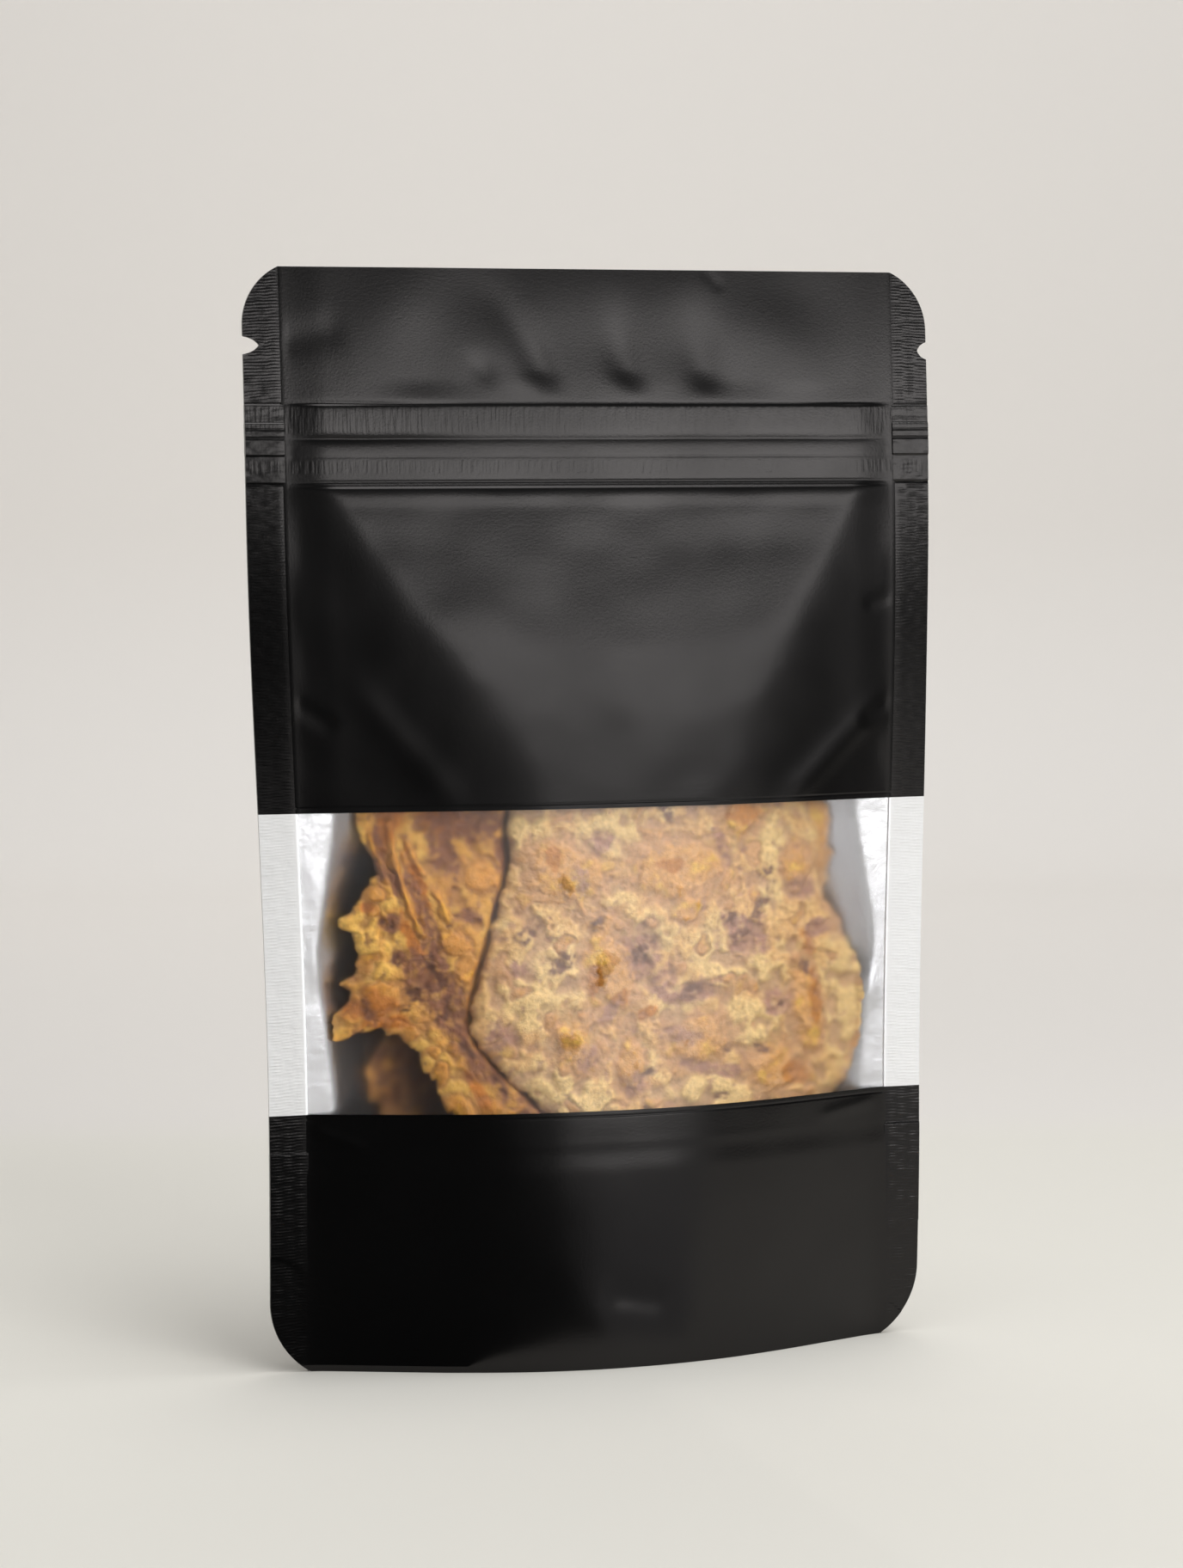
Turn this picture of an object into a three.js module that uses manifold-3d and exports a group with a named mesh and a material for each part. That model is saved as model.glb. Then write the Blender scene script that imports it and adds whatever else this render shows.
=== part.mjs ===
// A stand-up snack pouch: matte black laminate with a press-to-close zip, a folded bottom
// gusset that opens into a foot, and a clear band across the front that shows the fried
// banana cookies inside. Millimetres, +Z up, the front panel faces -Y, +X is to the right
// of somebody who looks at the front. The pouch stands on the rim of its foot at z = 0.

import * as THREE from 'three';
import { mergeVertices } from 'three/addons/utils/BufferGeometryUtils.js';
import Module from 'manifold-3d';

// ---- driving dimensions -------------------------------------------------------------

const POUCH_WIDTH = 110;          // flat width over the side seals
const POUCH_HEIGHT = 170;
const FOOT_WIDTH = 105.8;         // the filled pouch draws its sides in
const DRAWN_FROM = 137;           // height where the sides start to draw in
const DRAWN_TO = 38;              // height below which the width is the foot's

const SEAL_WIDTH = 6;             // side seals, both films welded together
const SEAL_THICKNESS = 1.2;
const GUSSET_PLY = 0.15;          // the folded gusset thickens each face of the seal
const WALL = 1.0;                 // film and its lining, drawn heavy so that it is a solid
const GAP = 0.3;                  // free space between neighbouring pieces

const TOP_CORNER = { radius: 10, drop: 9.03 };      // arc centre below the top edge
const FOOT_CORNER = { radius: 13, drop: 11.1 };     // arc centre above the bottom edge
const NOTCH = { left: 158, right: 157.6, height: 2.7, depthLeft: 2.5, depthRight: 1.5 };

const ZIP_TOP = 149.1;
const ZIP_GROOVE = 143.3;
const ZIP_LINE = 141.2;
const ZIP_BOTTOM = 136.9;
const ZIP_RISE = 0.75;

const WINDOW_TOP = 86.7;
const WINDOW_BOTTOM = 40.3;
const WINDOW_HALF = 46.4;

const GUSSET_FOLD = 34.5;         // height of the gusset's fold at the side seals
const GUSSET_CREST = 23;          // the fold sags to this under the cookies
const GUSSET_SEAM = 6;            // lowest point of the seal between gusset and panel
const POCKET_TOP = 122;           // above this the two panels lie together
const PUNCH = { radius: 8, depth: 0.2, x: 54, z: 10.5 };

const FRONT_CREST = [[0, 12.2], [WINDOW_BOTTOM, 10.5], [WINDOW_TOP, 5.3], [ZIP_BOTTOM, 0]];
const BACK_CREST = [[0, 11.4], [WINDOW_BOTTOM, 9.4], [WINDOW_TOP, 6.6], [ZIP_BOTTOM, 0]];
const FAN = [[0, 1], [WINDOW_BOTTOM, 0.9], [WINDOW_TOP, 0.66], [ZIP_BOTTOM, 0.14]];
const BULGE_POWER = 1.35;

const HEADER_DENTS = [-19, -11, 2.5, 16];
const HEADER_PUFF = 0.55;

const COLOURS = {
  film: 0x1b1a1a,
  window: 0xdcdcde,
  front: 0xd2a468,
  left: 0xcf9a4a,
  behind: 0xb98a52,
};

// ---- small helpers ------------------------------------------------------------------

const clamp01 = (t) => Math.min(1, Math.max(0, t));
const smooth = (t) => clamp01(t) ** 2 * (3 - 2 * clamp01(t));
const bell = (t) => Math.exp(-t * t);

// A smooth curve through [place, value] stations, level at both ends.
function through(stations, place) {
  const last = stations.length - 1;
  const at = Math.min(Math.max(place, stations[0][0]), stations[last][0]);
  let i = 0;
  while (i < last - 1 && at > stations[i + 1][0]) i += 1;
  const slope = (k) => {
    const lo = stations[Math.max(k - 1, 0)];
    const hi = stations[Math.min(k + 1, last)];
    return (hi[1] - lo[1]) / (hi[0] - lo[0]);
  };
  const [z0, v0] = stations[i];
  const [z1, v1] = stations[i + 1];
  const span = z1 - z0;
  const t = (at - z0) / span;
  const ease = t * t * (3 - 2 * t);
  return v0 * (1 - ease) + v1 * ease
    + span * (t * (1 - t) ** 2 * slope(i) - t * t * (1 - t) * slope(i + 1));
}

// Evenly spaced stations over several spans: [[from, to, steps], ...].
function stations(...spans) {
  const list = [spans[0][0]];
  for (const [from, to, steps] of spans) {
    for (let k = 1; k <= steps; k += 1) list.push(from + ((to - from) * k) / steps);
  }
  return list;
}

// ---- the pouch's surfaces -----------------------------------------------------------

const halfWidth = (z) => {
  const drawn = smooth((DRAWN_FROM - z) / (DRAWN_FROM - DRAWN_TO));
  return (POUCH_WIDTH + (FOOT_WIDTH - POUCH_WIDTH) * drawn) / 2;
};
const pocketHalf = (z) => halfWidth(z) - SEAL_WIDTH;

// The plane of the side seals: the header leans back, and so do the foot's corners.
function sealPlane(z) {
  const header = 3.2 * clamp01((z - 100) / 70) ** 2;
  const foot = 1.9 * clamp01((40 - z) / 40) ** 2;
  return header + foot - 1.1;
}

const sealDepth = (z) => SEAL_THICKNESS / 2 + (z < GUSSET_FOLD ? GUSSET_PLY : 0);

// A panel held straight by the zip and full below it: a flat fan hangs from the zip and
// narrows downwards, and on each side of it the film curls round to the seal.
function swell(x, z, crest) {
  const reach = pocketHalf(z);
  const q = clamp01((reach - Math.abs(x)) / (reach * through(FAN, z)));
  return through(crest, z) * (2 * q - q * q) ** BULGE_POWER;
}

const insideSeals = (x, z) => smooth((pocketHalf(z) - Math.abs(x)) / 2.5);

// The zip: a raised band with a groove where its two profiles lock and a fine line below.
function zipRelief(z) {
  const band = smooth((ZIP_TOP - z) / 0.7) * smooth((z - ZIP_BOTTOM) / 0.7);
  const bead = 0.45 * bell((z - ZIP_GROOVE + 1.1) / 0.7) + 0.25 * bell((z - ZIP_GROOVE - 1.3) / 0.9);
  const groove = 0.55 * bell((z - ZIP_GROOVE) / 0.4) + 0.2 * bell((z - ZIP_LINE) / 0.35);
  return band * (ZIP_RISE + bead - groove);
}

// Above the zip the lip stands a little open between soft upright dents.
function headerRelief(x, z) {
  const lip = smooth((z - ZIP_TOP) / 1.5) * (1 - 0.6 * smooth((z - 155) / 15));
  const dents = HEADER_DENTS.reduce((sum, at) => sum + bell((x - at) / 2.4), 0);
  return HEADER_PUFF * lip * (1 - 0.9 * Math.min(1, dents) * bell((z - 152) / 5));
}

function frontDepth(x, z) {
  const relief = zipRelief(z) + headerRelief(x, z);
  return sealDepth(z) + swell(x, z, FRONT_CREST) + relief * insideSeals(x, z);
}

function backDepth(x, z) {
  const relief = zipRelief(z) + 0.4 * headerRelief(x, z);
  return sealDepth(z) + swell(x, z, BACK_CREST) + relief * insideSeals(x, z);
}

// Height of the gusset film: it rises from its seal on each panel to the fold between.
function gussetHeight(x, y) {
  const side = clamp01(Math.abs(x) / pocketHalf(0));
  const seam = GUSSET_SEAM + (GUSSET_FOLD - GUSSET_SEAM) * side ** 4;
  const fold = GUSSET_CREST + (GUSSET_FOLD - GUSSET_CREST) * side ** 2;
  const depth = 1 + swell(x, seam, FRONT_CREST);
  return seam + (fold - seam) * Math.cos((Math.PI / 2) * clamp01(Math.abs(y) / depth));
}

// ---- solids -------------------------------------------------------------------------

const wasm = await Module();
wasm.setup();

// A closed three.js geometry as a solid that can be joined and cut.
function solid(geometry) {
  geometry.deleteAttribute('normal');
  geometry.deleteAttribute('uv');
  const merged = mergeVertices(geometry);
  return new wasm.Manifold(new wasm.Mesh({
    numProp: 3,
    vertProperties: merged.attributes.position.array,
    triVerts: new Uint32Array(merged.index.array),
  }));
}

function geometryOf(manifold) {
  const mesh = manifold.getMesh();
  const geometry = new THREE.BufferGeometry();
  geometry.setAttribute('position', new THREE.BufferAttribute(mesh.vertProperties, 3));
  geometry.setIndex(new THREE.BufferAttribute(mesh.triVerts, 1));
  geometry.computeVertexNormals();
  return geometry;
}

function indexedGeometry(points, triangles) {
  const geometry = new THREE.BufferGeometry();
  geometry.setAttribute('position', new THREE.Float32BufferAttribute(points.flat(), 3));
  geometry.setIndex(triangles.flat());
  return geometry;
}

// A block with a shaped face. face(i, j) and base(i, j) give the points of the shaped face
// and of the plain one below it, on a grid of `across` by `along` points. Seen from outside,
// the shaped face runs anticlockwise in i then j. The base is laid in strips, rim to rim.
function block(across, along, face, base) {
  const points = [];
  const triangles = [];
  const everyStep = Array.from({ length: across }, (_, i) => i);
  const rimSteps = (j) => (j === 0 || j === along - 1 ? everyStep : [0, across - 1]);
  const at = (i, j) => j * across + i;
  for (let j = 0; j < along; j += 1) {
    for (const i of everyStep) points.push(face(i, j));
  }
  for (let j = 0; j < along - 1; j += 1) {
    for (let i = 0; i < across - 1; i += 1) {
      triangles.push([at(i, j), at(i + 1, j), at(i + 1, j + 1)]);
      triangles.push([at(i, j), at(i + 1, j + 1), at(i, j + 1)]);
    }
  }
  const below = new Map();
  for (let j = 0; j < along; j += 1) {
    for (const i of rimSteps(j)) {
      below.set(at(i, j), points.length);
      points.push(base(i, j));
    }
  }
  const under = (i, j) => below.get(at(i, j));
  for (let j = 0; j < along - 1; j += 1) {
    const low = rimSteps(j);
    const high = rimSteps(j + 1);
    for (let k = 1; k < low.length; k += 1) {
      triangles.push([under(low[k], j), under(low[k - 1], j), under(0, j + 1)]);
    }
    for (let k = 1; k < high.length; k += 1) {
      triangles.push([under(across - 1, j), under(high[k - 1], j + 1), under(high[k], j + 1)]);
    }
  }
  const wall = (a, b) => {
    triangles.push([at(...a), under(...a), under(...b)]);
    triangles.push([at(...a), under(...b), at(...b)]);
  };
  for (let i = 1; i < across; i += 1) {
    wall([i - 1, 0], [i, 0]);
    wall([i, along - 1], [i - 1, along - 1]);
  }
  for (let j = 1; j < along; j += 1) {
    wall([across - 1, j - 1], [across - 1, j]);
    wall([0, j], [0, j - 1]);
  }
  return solid(indexedGeometry(points, triangles));
}

// One half of the bag, from its middle plane out to a panel. side is -1 for the front.
function panelHalf(side, columns, rows, depth, half) {
  const middle = (z) => sealPlane(z) - side * 0.25;
  const place = (i, j) => {
    const z = rows[j];
    return [side * -columns[i] * half(z), z];
  };
  return block(
    columns.length,
    rows.length,
    (i, j) => {
      const [x, z] = place(i, j);
      return [x, sealPlane(z) + side * depth(x, z), z];
    },
    (i, j) => {
      const [x, z] = place(i, j);
      return [x, middle(z), z];
    },
  );
}

// Everything under a surface z = height(x, y), down to below the foot.
function underSurface(height) {
  const across = 19;
  const along = 9;
  const reach = { x: 50, y: 14, z: -2 };
  const x = (i) => reach.x * ((2 * i) / (across - 1) - 1);
  const y = (j) => reach.y * ((2 * j) / (along - 1) - 1);
  return block(
    across,
    along,
    (i, j) => [x(i), y(j), height(x(i), y(j))],
    (i, j) => [x(i), y(j), reach.z],
  );
}

// A shape drawn in the x-z plane, made solid from y = from to y = to.
function throughCut(shape, from = -20, to = 20) {
  const geometry = new THREE.ExtrudeGeometry(shape, {
    depth: to - from,
    bevelEnabled: false,
    curveSegments: 10,
  });
  geometry.rotateX(Math.PI / 2);
  geometry.translate(0, to, 0);
  return solid(geometry);
}

// What a rounded corner removes. The arc is struck a little short of the edge, so that it
// meets the edge at a soft point. side is -1 for the left, up is -1 for the foot.
function cornerWaste(side, up, { radius, drop }, edgeX, edgeZ) {
  const centre = { x: edgeX - radius, z: edgeZ - up * drop };
  const meet = Math.asin(drop / radius);
  const shape = new THREE.Shape();
  shape.moveTo(side * (edgeX + 4), centre.z);
  shape.lineTo(side * edgeX, centre.z);
  for (let k = 1; k <= 10; k += 1) {
    const angle = (meet * k) / 10;
    shape.lineTo(side * (centre.x + radius * Math.cos(angle)), centre.z + up * radius * Math.sin(angle));
  }
  shape.lineTo(side * (centre.x + radius * Math.cos(meet)), edgeZ + up * 4);
  shape.lineTo(side * (edgeX + 4), edgeZ + up * 4);
  return throughCut(shape);
}

// A tear notch: a short wedge with a round tip.
function notchWaste(side, z, depth) {
  const edge = POUCH_WIDTH / 2;
  const half = NOTCH.height / 2;
  const shape = new THREE.Shape();
  shape.moveTo(side * (edge + 1), z + half);
  shape.lineTo(side * edge, z + half);
  shape.quadraticCurveTo(side * (edge - depth * 0.7), z + half * 0.8, side * (edge - depth), z);
  shape.quadraticCurveTo(side * (edge - depth * 0.7), z - half * 0.8, side * edge, z - half);
  shape.lineTo(side * (edge + 1), z - half);
  return throughCut(shape);
}

// The round punch at each lower corner leaves a shallow mark in both faces of the seal.
function punchWaste(side, face) {
  const shape = new THREE.Shape();
  shape.absarc(side * PUNCH.x, PUNCH.z, PUNCH.radius, 0, Math.PI * 2, false);
  const skin = sealPlane(PUNCH.z) + face * (sealDepth(0) - PUNCH.depth);
  return throughCut(shape, Math.min(skin, skin + face * 5), Math.max(skin, skin + face * 5));
}

function rectangle(left, right, low, high) {
  const shape = new THREE.Shape();
  shape.moveTo(left, low);
  shape.lineTo(right, low);
  shape.lineTo(right, high);
  shape.lineTo(left, high);
  return shape;
}

// ---- the pouch and its window -------------------------------------------------------

const withSeals = (inner) => {
  const seal = 1 - (2 * SEAL_WIDTH) / POUCH_WIDTH;
  return [-1, ...inner.map((u) => u * seal), 1];
};
const FRONT_COLUMNS = withSeals(stations(
  [-1, -0.84, 3],
  [-0.84, -0.48, 3],
  [-0.48, 0.44, 20],
  [0.44, 0.84, 3],
  [0.84, 1, 3],
));
const BACK_COLUMNS = withSeals(stations([-1, -0.8, 3], [-0.8, 0.8, 10], [0.8, 1, 3]));
const panelRows = (foot, window, upper, zip, header) => stations(
  [0, GUSSET_FOLD - 0.1, foot],
  [GUSSET_FOLD - 0.1, GUSSET_FOLD + 0.1, 1],
  [GUSSET_FOLD + 0.1, WINDOW_BOTTOM, 1],
  [WINDOW_BOTTOM, WINDOW_TOP, window],
  [WINDOW_TOP, ZIP_BOTTOM, upper],
  [ZIP_BOTTOM, ZIP_TOP, zip],
  [ZIP_TOP, POUCH_HEIGHT, header],
);
const FRONT_ROWS = panelRows(4, 5, 7, 13, 6);
const BACK_ROWS = panelRows(4, 4, 5, 8, 3);
const POCKET_ROWS = stations([-1, GUSSET_FOLD, 4], [GUSSET_FOLD, POCKET_TOP, 9]);
const POCKET_COLUMNS = stations([-1, -0.8, 3], [-0.8, 0.8, 10], [0.8, 1, 3]);

const pocketDepth = (outer) => (x, z) => Math.max(0.3, outer(x, z) - WALL);
const pocketReach = (z) => pocketHalf(z) - 3.2;

const bag = panelHalf(-1, FRONT_COLUMNS, FRONT_ROWS, frontDepth, halfWidth)
  .add(panelHalf(1, BACK_COLUMNS, BACK_ROWS, backDepth, halfWidth));
const frontPocket = panelHalf(-1, POCKET_COLUMNS, POCKET_ROWS, pocketDepth(frontDepth), pocketReach);
const backPocket = panelHalf(1, POCKET_COLUMNS, POCKET_ROWS, pocketDepth(backDepth), pocketReach);
const pocket = frontPocket.add(backPocket);

function pouchGeometry() {
  const half = POUCH_WIDTH / 2;
  let body = bag
    .subtract(pocket.subtract(underSurface((x, y) => gussetHeight(x, y) + WALL)))
    .subtract(pocket.intersect(underSurface(gussetHeight)));
  const opening = rectangle(-WINDOW_HALF, WINDOW_HALF, WINDOW_BOTTOM, WINDOW_TOP);
  body = body.subtract(throughCut(opening, -20, sealPlane(WINDOW_TOP)));
  for (const side of [-1, 1]) {
    body = body.subtract(cornerWaste(side, 1, TOP_CORNER, half, POUCH_HEIGHT));
    body = body.subtract(cornerWaste(side, -1, FOOT_CORNER, FOOT_WIDTH / 2, 0));
    body = body.subtract(punchWaste(side, -1)).subtract(punchWaste(side, 1));
  }
  body = body.subtract(notchWaste(-1, NOTCH.left, NOTCH.depthLeft));
  body = body.subtract(notchWaste(1, NOTCH.right, NOTCH.depthRight));
  return geometryOf(body);
}

function windowGeometry() {
  const pane = rectangle(-WINDOW_HALF + GAP, WINDOW_HALF - GAP, WINDOW_BOTTOM + GAP, WINDOW_TOP - GAP);
  const film = bag.subtract(frontPocket).intersect(throughCut(pane, -20, sealPlane(WINDOW_TOP) - GAP));
  return geometryOf(film);
}

// ---- the cookies --------------------------------------------------------------------

// Fried discs of mashed banana, flat, lumpy and ragged at the rim. Each lies in its own
// layer of the pocket: layer 0 is against the front film and layer 1 against the back.
const COOKIES = [
  {
    node: 'cookie_front',
    colour: COLOURS.front,
    centre: [9.5, 62],
    rim: [[43.2, 55], [40.5, 66], [36.5, 73], [35.5, 86], [26, 95], [8, 97], [-8, 95], [-14.8, 86],
      [-15.4, 78], [-18.2, 69], [-22.2, 54], [-19, 48], [-10, 39], [2, 30], [20, 28], [39, 40]],
    layers: () => [0, 0.4],
    phase: 0.4,
  },
  {
    node: 'cookie_left',
    colour: COLOURS.left,
    centre: [-22, 66],
    rim: [[-4, 62], [-6, 78], [-12, 92], [-25, 98], [-37, 92], [-39, 84], [-36, 77.5], [-41.6, 70],
      [-38.8, 64.5], [-41.8, 59], [-43.2, 53.5], [-33.5, 52.6], [-29, 48], [-25.5, 40], [-16, 31],
      [-6, 44]],
    layers: (x) => [0.42 * smooth((x + 27) / 8), 0.42 + 0.28 * smooth((x + 27) / 8)],
    phase: 2.1,
  },
  {
    node: 'cookie_back_left',
    colour: COLOURS.behind,
    centre: [-14, 56],
    rim: [[18, 56], [12, 76], [-10, 85], [-24, 72], [-31, 56], [-37, 44], [-28, 34], [-8, 30], [12, 36]],
    layers: () => [0.74, 0.99],
    phase: 3.7,
    segments: 24,
  },
  {
    node: 'cookie_back_right',
    colour: COLOURS.behind,
    centre: [18, 80],
    rim: [[38.5, 79], [36, 92], [28, 101], [14, 102], [3, 94], [-1, 80], [4, 66], [16, 59],
      [28, 60], [35, 67]],
    layers: () => [0.44, 0.7],
    phase: 5.2,
    segments: 24,
  },
];

// Room left for the cookies between the two films at a place of the pocket.
function room(x, z) {
  const front = sealPlane(z) - pocketDepth(frontDepth)(x, z) + GAP + 0.15;
  const back = sealPlane(z) + pocketDepth(backDepth)(x, z) - GAP - 0.15;
  return { front, back };
}

const lumps = (x, z, phase) => 0.5
  + 0.25 * Math.sin(0.42 * x + 0.18 * z + phase) * Math.cos(0.37 * z - phase)
  + 0.25 * Math.sin(0.75 * x - 0.63 * z + 2 * phase);

function cookieGeometry({ centre, rim, layers, phase, segments = 32 }) {
  const rings = 6;
  const outline = new THREE.CatmullRomCurve3(rim.map(([x, z]) => new THREE.Vector3(x, 0, z)), true)
    .getPoints(segments)
    .slice(0, segments);
  const centrePoint = new THREE.Vector3(centre[0], 0, centre[1]);
  const faces = ({ x, z }, share) => {
    const { front, back } = room(x, z);
    const [low, high] = layers(x);
    const outer = front + (back - front) * low + GAP / 2;
    const inner = front + (back - front) * high - GAP / 2;
    const middle = (outer + inner) / 2;
    const edge = Math.sqrt(1 - share ** 6);
    const thick = Math.max(0.1, ((inner - outer) / 2) * edge * (1 - 0.3 * lumps(x, z, phase)));
    return [middle - thick, middle + thick, middle];
  };
  const points = [];
  for (const face of [0, 1]) {
    points.push([centrePoint.x, faces(centrePoint, 0)[face], centrePoint.z]);
    for (let ring = 1; ring < rings; ring += 1) {
      const share = Math.sin((Math.PI / 2) * (ring / rings));
      for (const end of outline) {
        const at = centrePoint.clone().lerp(end, share);
        points.push([at.x, faces(at, share)[face], at.z]);
      }
    }
  }
  const rimFirst = points.length;
  for (const end of outline) points.push([end.x, faces(end, 1)[2], end.z]);

  const half = 1 + (rings - 1) * segments;
  const index = (face, ring, k) => {
    const turn = ((k % segments) + segments) % segments;
    return ring === rings ? rimFirst + turn : face * half + 1 + (ring - 1) * segments + turn;
  };
  const triangles = [];
  const add = (face, a, b, c) => triangles.push(face === 0 ? [a, b, c] : [a, c, b]);
  for (const face of [0, 1]) {
    for (let k = 0; k < segments; k += 1) {
      add(face, face * half, index(face, 1, k), index(face, 1, k + 1));
      for (let ring = 1; ring < rings; ring += 1) {
        const [a, b] = [index(face, ring, k), index(face, ring + 1, k)];
        const [c, d] = [index(face, ring + 1, k + 1), index(face, ring, k + 1)];
        add(face, a, b, c);
        add(face, a, c, d);
      }
    }
  }
  return geometryOf(solid(indexedGeometry(points, triangles)));
}

// ---- the pack -----------------------------------------------------------------------

function piece(name, geometry, colour, roughness, extra = {}) {
  const material = new THREE.MeshStandardMaterial({ color: colour, roughness, metalness: 0, ...extra });
  const mesh = new THREE.Mesh(geometry, material);
  mesh.name = name;
  return mesh;
}

const pack = new THREE.Group();
pack.add(piece('pouch', pouchGeometry(), COLOURS.film, 0.45));
pack.add(piece('window', windowGeometry(), COLOURS.window, 0.3, { transparent: true, opacity: 0.35 }));
for (const cookie of COOKIES) {
  pack.add(piece(cookie.node, cookieGeometry(cookie), cookie.colour, 0.8));
}

export default pack;
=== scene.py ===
"""A shut stand-up pouch of banana cookies, dressed as the real one.

Matte black film with a press-to-close zip, ribbed side seals, tear notches, a foil lining, a
folded bottom gusset and a frosted clear band across the front, with the fried banana cookies
that lie behind it. The shapes are worked out in millimetres and their meshes are in metres:
+Z is up, the front panel faces -Y, and x is measured from the pouch's middle.
"""

import math

import bpy
import numpy as np
from bpy.props import FloatProperty, FloatVectorProperty, PointerProperty
from bpy.types import Operator, Panel, PropertyGroup
from mathutils import Euler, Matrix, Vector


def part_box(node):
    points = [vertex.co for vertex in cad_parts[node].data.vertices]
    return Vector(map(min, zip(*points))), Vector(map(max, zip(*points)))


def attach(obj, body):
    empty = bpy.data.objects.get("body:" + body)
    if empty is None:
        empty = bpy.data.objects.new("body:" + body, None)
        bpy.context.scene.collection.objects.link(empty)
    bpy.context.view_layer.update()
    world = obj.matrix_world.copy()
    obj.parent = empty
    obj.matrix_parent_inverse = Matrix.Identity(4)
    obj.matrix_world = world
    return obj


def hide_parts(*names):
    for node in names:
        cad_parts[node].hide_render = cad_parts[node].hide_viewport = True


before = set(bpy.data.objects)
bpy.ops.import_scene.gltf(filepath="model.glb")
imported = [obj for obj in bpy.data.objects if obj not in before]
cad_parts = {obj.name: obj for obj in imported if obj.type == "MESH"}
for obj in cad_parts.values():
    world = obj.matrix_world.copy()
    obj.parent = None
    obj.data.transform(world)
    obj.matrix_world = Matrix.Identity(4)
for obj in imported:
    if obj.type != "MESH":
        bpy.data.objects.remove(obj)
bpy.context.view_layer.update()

bl_info = {
    "name": "Snack pouch of banana cookies",
    "version": (1, 0, 0),
    "blender": (4, 5, 0),
    "location": "View3D > Sidebar > Pouch",
    "description": "Makes a black stand-up pouch with a clear band and the cookies in it",
    "category": "Add Mesh",
}

POUCH_LOW, POUCH_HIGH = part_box("pouch")
WINDOW_LOW, WINDOW_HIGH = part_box("window")
WINDOW_GAP = 0.0003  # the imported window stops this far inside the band
MM = 0.001
BODY = "root"


# ---- settings that a user would change -----------------------------------------------


def length(name, description, default):
    return FloatProperty(name=name, description=description, default=default, min=0, unit="LENGTH")


def colour(name, description, default, brightest=1):
    return FloatVectorProperty(
        name=name, description=description, default=default, min=0, max=brightest, subtype="COLOR"
    )


def power(name, description, default):
    return FloatProperty(name=name, description=description, default=default, min=0, unit="POWER")


class PouchSizes(PropertyGroup):
    """Sizes of the film and its welds."""

    width: length("Width", "Flat width over the side seals", POUCH_HIGH.x - POUCH_LOW.x)
    height: length("Height", "From the foot to the top edge", POUCH_HIGH.z - POUCH_LOW.z)
    foot_width: length("Foot width", "Width where the filled pouch draws in", 0.1058)
    seal_width: length("Seal width", "Width of each side seal", 0.006)
    film: length("Film", "Thickness of the film", 0.00013)
    rib_pitch: length("Rib pitch", "Distance from rib to rib in the side seals", 0.00048)
    rib_height: length("Rib height", "How far the ribs stand out", 0.00005)
    zip_top: length("Zip top", "Height of the zip band's upper edge", 0.1491)
    zip_bottom: length("Zip bottom", "Height of the zip band's lower edge", 0.1369)
    window_top: length("Window top", "Upper edge of the clear band", WINDOW_HIGH.z + WINDOW_GAP)
    window_bottom: length("Window bottom", "Lower edge of the band", WINDOW_LOW.z - WINDOW_GAP)
    gusset_fold: length("Gusset fold", "Height of the gusset's fold at the seals", 0.0345)


class PouchColours(PropertyGroup):
    """Colours of the film and the cookies."""

    film: colour("Film", "Matte black film", (0.0026, 0.0026, 0.0027))
    foil: colour("Foil", "Silver lining and the seals of the clear band", (0.93, 0.93, 0.935))
    clear: colour("Clear film", "Tint of the frosted band", (0.97, 0.97, 0.98))
    lining: colour("Lining", "Foil lining inside the pouch", (0.61, 0.61, 0.622))
    dough: colour("Dough", "Fried batter", (0.49, 0.285, 0.098))
    flour: colour("Flour", "Pale floury crumb", (0.57, 0.385, 0.158))
    fruit: colour("Fruit", "Soft banana slices", (0.53, 0.265, 0.072))
    ripe: colour("Ripe fruit", "Yellow middles of the slices", (0.62, 0.355, 0.060))
    caramel: colour("Caramel", "Sugary fruit at the rims", (0.42, 0.165, 0.024))
    # toast also darkens the cookies' hollows, partly as browning and partly as painted shade
    toast: colour("Toast", "Browned ridges and hollows", (0.30, 0.155, 0.098))
    scorch: colour("Scorch", "Dark specks of the fruit", (0.145, 0.066, 0.038))
    # the deep tone of the cookies on the left is partly their own colour and partly painted shade
    # for the shade they lie in
    deep: colour("Deep tone", "Tint of the cookies fried darker", (1.10, 0.93, 0.44), 2)


class StageSettings(PropertyGroup):
    """The floor, the backdrop and the lamps."""

    table: colour("Table", "Colour of the table top", (0.82, 0.80, 0.74))
    wall: colour("Wall", "Colour of the backdrop", (0.93, 0.898, 0.858))
    sheen: power("Sheen lamp", "Softbox to the right of the camera, seen in the film", 2.95)
    fill: power("Front lamp", "Soft lamp above it that lights the front", 6.8)
    top: power("Top lamp", "Large lamp overhead", 18.4)


# ---- small helpers --------------------------------------------------------------------


def clamp01(t):
    return np.clip(t, 0.0, 1.0)


def smooth(t):
    """Rises from 0 to 1 as t does, level at both ends."""
    t = clamp01(t)
    return t * t * (3 - 2 * t)


def bell(t):
    """A hill of height 1 around t = 0, about two units wide."""
    return np.exp(-t * t)


def tent(t):
    """A hill of height 1 around t = 0 with a narrow crest, whose flanks fade exponentially."""
    return np.exp(0.2 - np.sqrt(t * t + 0.04))


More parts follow.
